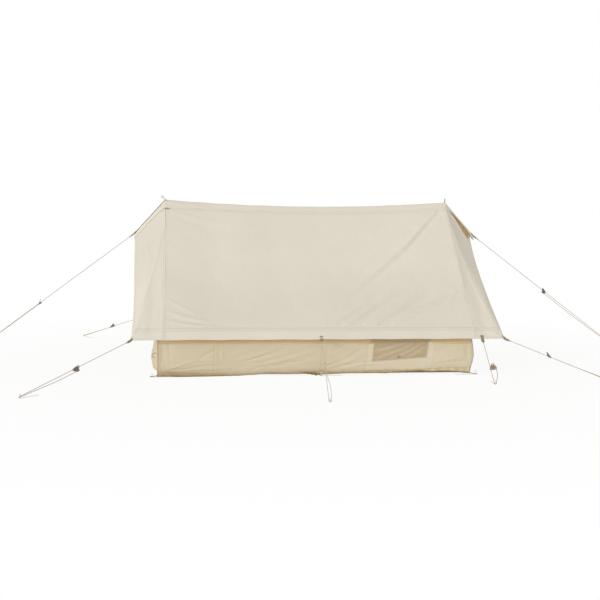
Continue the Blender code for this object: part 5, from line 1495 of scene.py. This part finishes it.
def makeFloor():
    grow = floorForm["grow"]
    half = halfWidth + grow
    y = stations(-half, half, 0.020, [-endForm["doorHalf"], endForm["doorHalf"]])
    u = np.linspace(0, 1, 134)
    gridU, gridY = np.meshgrid(u, y, indexing="ij")
    gridX = mix(floorHalf(gridY, "left", grow), floorHalf(gridY, "right", grow), gridU)
    z = 0.0024 + 0.0009 * (1 + rumple(gridX, gridY, 81, 0.8, 0.6, 0.12, count=18))
    for side, sign in sideSign.items():
        near = smooth(floorForm["rise"] - (half - sign * gridY), 0, floorForm["rise"])
        z += near * np.maximum(footEdge(gridX, side, "bottom") - 0.002, 0)
    points = np.stack([gridX, gridY, np.maximum(z, 0.0016)], axis=-1)
    floor = makeSheet("groundsheetFloor", points, (gridX, gridY), finishes["floor"], thick=0.0012)
    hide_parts("groundsheet")
    for side, sign in sideSign.items():
        # edge seen outside along the wall
        x = stations(float(floorHalf(half, "left", 0)) - 0.004, float(floorHalf(half, "right", 0)) + 0.004, 0.008)
        share = np.linspace(0, 1, 9)
        gridX, gridShare = np.meshgrid(x, share, indexing="ij")
        low, high = footEdge(gridX, side, "bottom"), footEdge(gridX, side, "top")
        lips = 0.0045 + 0.0025 * np.sin(2 * pi * gridX / 0.061 + 0.5) * gridShare + 0.003 * (1 - gridShare)
        relief = rumple(gridX, gridShare * 0.04, 83, 0.0022, 0.12, 0.02, count=20)
        # spread on the ground towards one end, paler at the other
        place = gridX if side == "near" else -gridX
        spread = 0.034 * smooth(-place, 0.55, 1.20) * (1 - gridShare) ** 1.3
        out = halfWidth + lips + spread + relief * np.sin(pi * gridShare)
        edge = np.stack([gridX, sign * out, mix(low, high, gridShare)], axis=-1)
        paler = smooth(place, 0.78, 1.02) * (0.75 + 0.35 * np.sin(place * 57.0) * np.sin(place * 23.0))
        paler = paler * smooth(gridShare, 0.10, 0.30)
        strip = makeSheet(f"groundsheetEdge_{side}", edge, (gridX, gridShare * 0.045), finishes["floorEdge"],
                          outward=(0, sign, 0), thick=0.0014, tone=np.clip(paler, 0, 1))
        # upstand inside
        x = np.linspace(0.010 - halfLength, halfLength - 0.010, 150)
        gridX, gridShare = np.meshgrid(x, np.linspace(0, 1, 7), indexing="ij")
        inside = np.stack([gridX + lean(gridX, 0.02) * 0.98, np.full(gridX.shape, sign * (halfWidth - 0.0062)),
                           mix(footEdge(gridX, side, "bottom") + 0.001, floorForm["upstand"], gridShare)], axis=-1)
        upstand = makeSheet(f"upstand_{side}", inside, (gridX, gridShare * 0.045), finishes["floor"],
                            outward=(0, -sign, 0), thick=0.0010)
    for end, sign in endSign.items():
        # low edge along the ends, outside the cloth and below the doors
        y = np.linspace(-halfWidth - 0.004, halfWidth + 0.004, 150)
        gridY, gridShare = np.meshgrid(y, np.linspace(0, 1, 7), indexing="ij")
        corner = np.minimum(1, cornerShare(gridY))
        bulge = endForm["bulge"] * np.sin(pi * corner) ** 2 * 0.12
        x = floorHalf(gridY, end, 0.0) + sign * (0.0045 + bulge + 0.0015 * np.sin(gridY * 61) * gridShare)
        low = 0.0012 + 0.001 * (1 + np.sin(gridY * 23))
        high = 0.0095 + 0.018 * smooth(corner, 0.02, 0.25) + 0.002 * np.sin(gridY * 37)
        endX = float(floorHalf(half, end, 0))
        for side, sideTo in sideSign.items():
            nearCorner = smooth(sideTo * gridY, halfWidth - 0.10, halfWidth)
            low = mix(low, float(footEdge(endX, side, "bottom")), nearCorner)
            high = mix(high, min(0.048, float(footEdge(endX, side, "top"))), nearCorner)
        edge = np.stack([x, gridY, mix(low, high, gridShare)], axis=-1)
        strip = makeSheet(f"groundsheetEdge_{end}", edge, (gridY, gridShare * 0.03), finishes["floorEdge"],
                          outward=(sign, 0, 0), thick=0.0012)


def strapPlaces():
    corner = 1 / math.sqrt(2)
    outside = halfWidth + floorForm["lip"]
    shift = tentShape["floorSkew"] * float(cornerShare(outside))
    for side, sideTo in sideSign.items():
        for end, endTo in endSign.items():
            edge = np.array([endTo * (halfLength + floorForm["lip"]) + shift, sideTo * outside, 0])
            yield f"{end}_{side}", side, edge, np.array([endTo * corner, sideTo * corner, 0])
        yield f"middle_{side}", side, np.array([0, sideTo * outside, 0]), np.array([0.0, sideTo, 0])


def makeStraps():
    for name, side, edge, out in strapPlaces():
        across = np.cross((0, 0, 1), out)
        foot = float(footEdge(edge[0], side, "bottom"))
        level = floorForm["strapLevel"] - 0.0012
        reach = floorForm["lip"] * (1.35 if "middle" not in name else 1.0)
        back = edge - out * reach
        run = [back + [0, 0, foot + 0.004], edge - out * reach * 0.6 + [0, 0, mix(foot + 0.004, level, 0.3)],
               edge - out * 0.006 + [0, 0, level], edge + out * (floorForm["strapLength"] - 0.0215) + [0, 0, level]]
        path = softenPath(run, 3)
        makeStrip(f"pegStrap_{name}", path, (0, 0, 1), floorForm["strapWidth"], 0.0014, finishes["strap"],
                  sink=0.4)
        # the strap's end is a loop round the peg
        hole = edge + out * (floorForm["strapLength"] - 0.012)
        angles = np.linspace(-pi * 0.80, pi * 0.80, 34)
        ring = np.array([hole + out * 0.0088 * math.cos(a) + across * 0.0078 * math.sin(a) + [0, 0, level + 0.0008]
                         for a in angles])
        tails = np.array([hole - out * 0.0125 + across * 0.0038 * turn + [0, 0, level + 0.0008] for turn in (-1, 1)])
        ring = softenPath(np.vstack([tails[:1], ring, tails[1:]]), 1)
        makeStrip(f"pegLoop_{name}", ring, (0, 0, 1), 0.0050, 0.0016, finishes["strap"], sink=0.6)


def makeStrapEnd(side):
    # loose, crumpled end of the middle strap, and beside it a dark strip that is painted shade where the groundsheet's
    # edge gapes
    sign, count = sideSign[side], 22
    run = np.linspace(0, 1, count)
    path = np.column_stack([sign * mix(0.088, 0.026, run), sign * (1.066 + 0.016 * run + 0.003 * np.sin(9 * run)),
                            0.018 - 0.006 * run + 0.0025 * np.sin(13 * run)])
    normals = np.column_stack([0.3 * np.sin(7 * run), np.full(count, sign * 0.8), 0.6 + 0.3 * np.cos(5 * run)])
    makeStrip(f"strapEnd_{side}", path, normals, 0.020 + 0.004 * np.sin(11 * run), 0.0016, finishes["darkStrapAndShade"],
              sink=0.6)
    # painted shade: a dark strip where the groundsheet's edge gapes
    path = np.column_stack([sign * mix(0.160, 0.075, run), np.full(count, sign * (halfWidth + 0.0105)),
                            0.018 + 0.002 * np.sin(4 * run)])
    width = 0.002 + 0.013 * np.sin(np.linspace(0.25, pi - 0.15, count))
    makeStrip(f"edgeGapShade_{side}", path, (0, sign, 0), width, 0.0012, finishes["darkStrapAndShade"], sink=1.0)


# foot is the colour of the painted shade where the edge meets the ground
finishes["floorEdge"] = sheetingFinish("groundsheetEdge", (0.52, 0.39, 0.21), (0.42, 0.30, 0.15),
                                       (0.70, 0.61, 0.44), foot=(0.17, 0.085, 0.020))
makeFloor()
makeStraps()
for side in sideSign:
    makeStrapEnd(side)
print("groundsheet laid")


# Webbing tabs: a folded loop at each guyline, its ends sewn down on the cloth
tabForm = {"width": 0.018, "tipWidth": 0.012, "eaveWidth": 0.026, "thick": 0.0016, "gap": 0.0042, "onCloth": 0.034}


def makeTab(name, start, ahead, across, above, inward, width):
    gap, reach, length = tabForm["gap"] / 2, guylines["tabLength"] - 0.004, tabForm["onCloth"]
    top = [start + inward * length + above * 0.004, start + inward * length * 0.5 + above * 0.0042,
           start + inward * 0.010 + above * 0.0044, start + ahead * 0.008 + above * (gap + 0.0012)]
    top += [start + ahead * step + above * gap for step in (0.018, 0.028, reach - gap)]
    turn = [start + ahead * (reach - gap + gap * math.sin(a)) + above * gap * math.cos(a)
            for a in np.linspace(0.25, pi - 0.25, 9)]
    back = [start + ahead * step - above * gap for step in (reach - gap, 0.028, 0.018)]
    back += [start + ahead * 0.006 - above * (gap + 0.0025), start + inward * 0.020 - above * 0.0075]
    path = softenPath(np.array(top + turn + back), 1)
    tangent = np.gradient(path, axis=0)
    tangent /= np.linalg.norm(tangent, axis=1, keepdims=True)
    normals = np.cross(tangent, across)
    if float(np.dot(normals[2], above)) < 0:
        normals = -normals
    makeStrip(f"tab_{name}", path, normals, width, tabForm["thick"], finishes["webbing"],
              sink=0.2)


for name, (tab, peg, *_) in (guylines["lines"] | guylines["spare"]).items():
    start, *_, ahead, across, above = guyFrame(tabStarts[tab], peg)
    if "tip" in name:               # along the beak's crest
        width = tabForm["tipWidth"]
        inward = unit(np.array([math.copysign(halfLength, start[0]), 0, ridgeHeight]) - start)
    elif abs(start[0]) > halfLength + 0.1:     # a corner: up the wing, in line with the cord
        width = tabForm["width"]
        inward = unit([-ahead[0], -ahead[1], slope * abs(ahead[1])])
    else:
        width = tabForm["eaveWidth"]
        inward = unit([0, -math.copysign(1, start[1]), slope])
    if width != tabForm["eaveWidth"]:
        across, above = above, -across         # the beaks' and corners' webbing stands on edge
    makeTab(name, start, ahead, across, above, inward, width)
print("tabs sewn")

# Small loop at the left near corner, where the wall can be hooked up
cornerLoop = {"x": -1.372, "z": 0.176, "reach": 0.032, "rise": 0.020, "radius": 0.0024}
angles = np.linspace(-0.4 * pi, 0.55 * pi, 26)
loop = np.column_stack([cornerLoop["x"] - cornerLoop["reach"] * np.cos(angles), np.full(26, -halfWidth),
                        cornerLoop["z"] + cornerLoop["rise"] * np.sin(angles)])
curvePiece("cornerLoop", loop, cornerLoop["radius"], finishes["cord"])

# Finishes of the hard parts, and three tensioners that have their own
hardFinishes = {
    "pole_upper_": "steel", "pole_lower_": "steel", "pole_foot_": "rubber", "zip_slider_": "brass",
    "tensioner_": "plate", "peg_": "peg", "wall_peg_": "peg",
}
ownFinishes = {"tensioner_middle_near": "platePale", "tensioner_left_far": "plateBrown",
               "tensioner_side_near": "plateBrown"}
finished = 0
for name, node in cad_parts.items():
    for start, finish in hardFinishes.items():
        if name.startswith(start):
            node.data.materials.clear()
            node.data.materials.append(finishes[ownFinishes.get(name, finish)])
            finished += 1
print("hard parts finished:", finished)

# Studio: pale floor, white surroundings, one lamp from the left and a weak, wide one from the front
studio = {"surround": 0.655, "surroundColour": (1.0, 0.965, 0.90), "key": 1.07, "keyFrom": (-0.80, -0.56, 0.26),
          "keyAngle": 8.0, "fill": 0.32, "fillFrom": (0.10, -1.0, 0.25), "fillAngle": 30.0,
          "floorShadow": 0.10, "fadeNear": 2.2, "fadeFar": 5.5, "floorHalf": 40, "floorLevel": -0.0005}


def cameraShare(tree):
    path = tree.nodes.new("ShaderNodeLightPath")
    seen = mathNode(tree, "MAXIMUM", path.outputs["Is Camera Ray"], path.outputs["Is Glossy Ray"])
    return mathNode(tree, "MAXIMUM", seen, path.outputs["Is Transmission Ray"])


def makeStudio():
    world = bpy.data.worlds.new("studioWhite")
    world.use_nodes = True
    bpy.context.scene.world = world
    tree = world.node_tree
    background = tree.nodes["Background"]
    tree.links.new(mixColour(tree, cameraShare(tree), studio["surroundColour"], (1, 1, 1)), background.inputs["Color"])
    tree.links.new(spanNode(tree, cameraShare(tree), 0, 1, studio["surround"], 1.0), background.inputs["Strength"])
    for name, power, come, angle in (("keyLamp", studio["key"], studio["keyFrom"], studio["keyAngle"]),
                                     ("fillLamp", studio["fill"], studio["fillFrom"], studio["fillAngle"])):
        lamp = bpy.data.lights.new(name, "SUN")
        lamp.energy = power
        lamp.angle = math.radians(angle)
        stand = bpy.data.objects.new(name, lamp)
        bpy.context.scene.collection.objects.link(stand)
        stand.matrix_world = Vector(come).to_track_quat("Z", "Y").to_matrix().to_4x4()
    finish = bpy.data.materials.new("studioFloor")
    finish.use_nodes = True
    tree = finish.node_tree
    tree.nodes.clear()
    output = tree.nodes.new("ShaderNodeOutputMaterial")
    paint, glow = tree.nodes.new("ShaderNodeBsdfDiffuse"), tree.nodes.new("ShaderNodeEmission")
    paint.inputs["Color"].default_value = (0.985, 0.985, 0.985, 1)
    glow.inputs["Color"].default_value = (1, 1, 1, 1)
    blend = tree.nodes.new("ShaderNodeMixShader")
    # the floor's own shade fades out, so that it meets the white surroundings without a line
    away = tree.nodes.new("ShaderNodeVectorMath")
    away.operation = "LENGTH"
    tree.links.new(bodyPlace(tree), away.inputs[0])
    shade = spanNode(tree, away.outputs["Value"], studio["fadeNear"], studio["fadeFar"], studio["floorShadow"], 0.0)
    lit = mathNode(tree, "SUBTRACT", 1.0, shade)
    tree.links.new(mathNode(tree, "MULTIPLY", cameraShare(tree), lit), blend.inputs[0])
    tree.links.new(paint.outputs[0], blend.inputs[1])
    tree.links.new(glow.outputs[0], blend.inputs[2])
    tree.links.new(blend.outputs[0], output.inputs["Surface"])
    mesh = bpy.data.meshes.new("studioFloor")
    size = studio["floorHalf"]
    corners = [(-size, -size), (size, -size), (size, size), (-size, size)]
    mesh.from_pydata([(x, y, studio["floorLevel"]) for x, y in corners], [], [(0, 1, 2, 3)])
    mesh.materials.append(finish)
    floor = bpy.data.objects.new("studioFloor", mesh)
    bpy.context.scene.collection.objects.link(floor)
    bpy.context.scene.view_settings.view_transform = "Standard"


makeStudio()
print("studio lit")
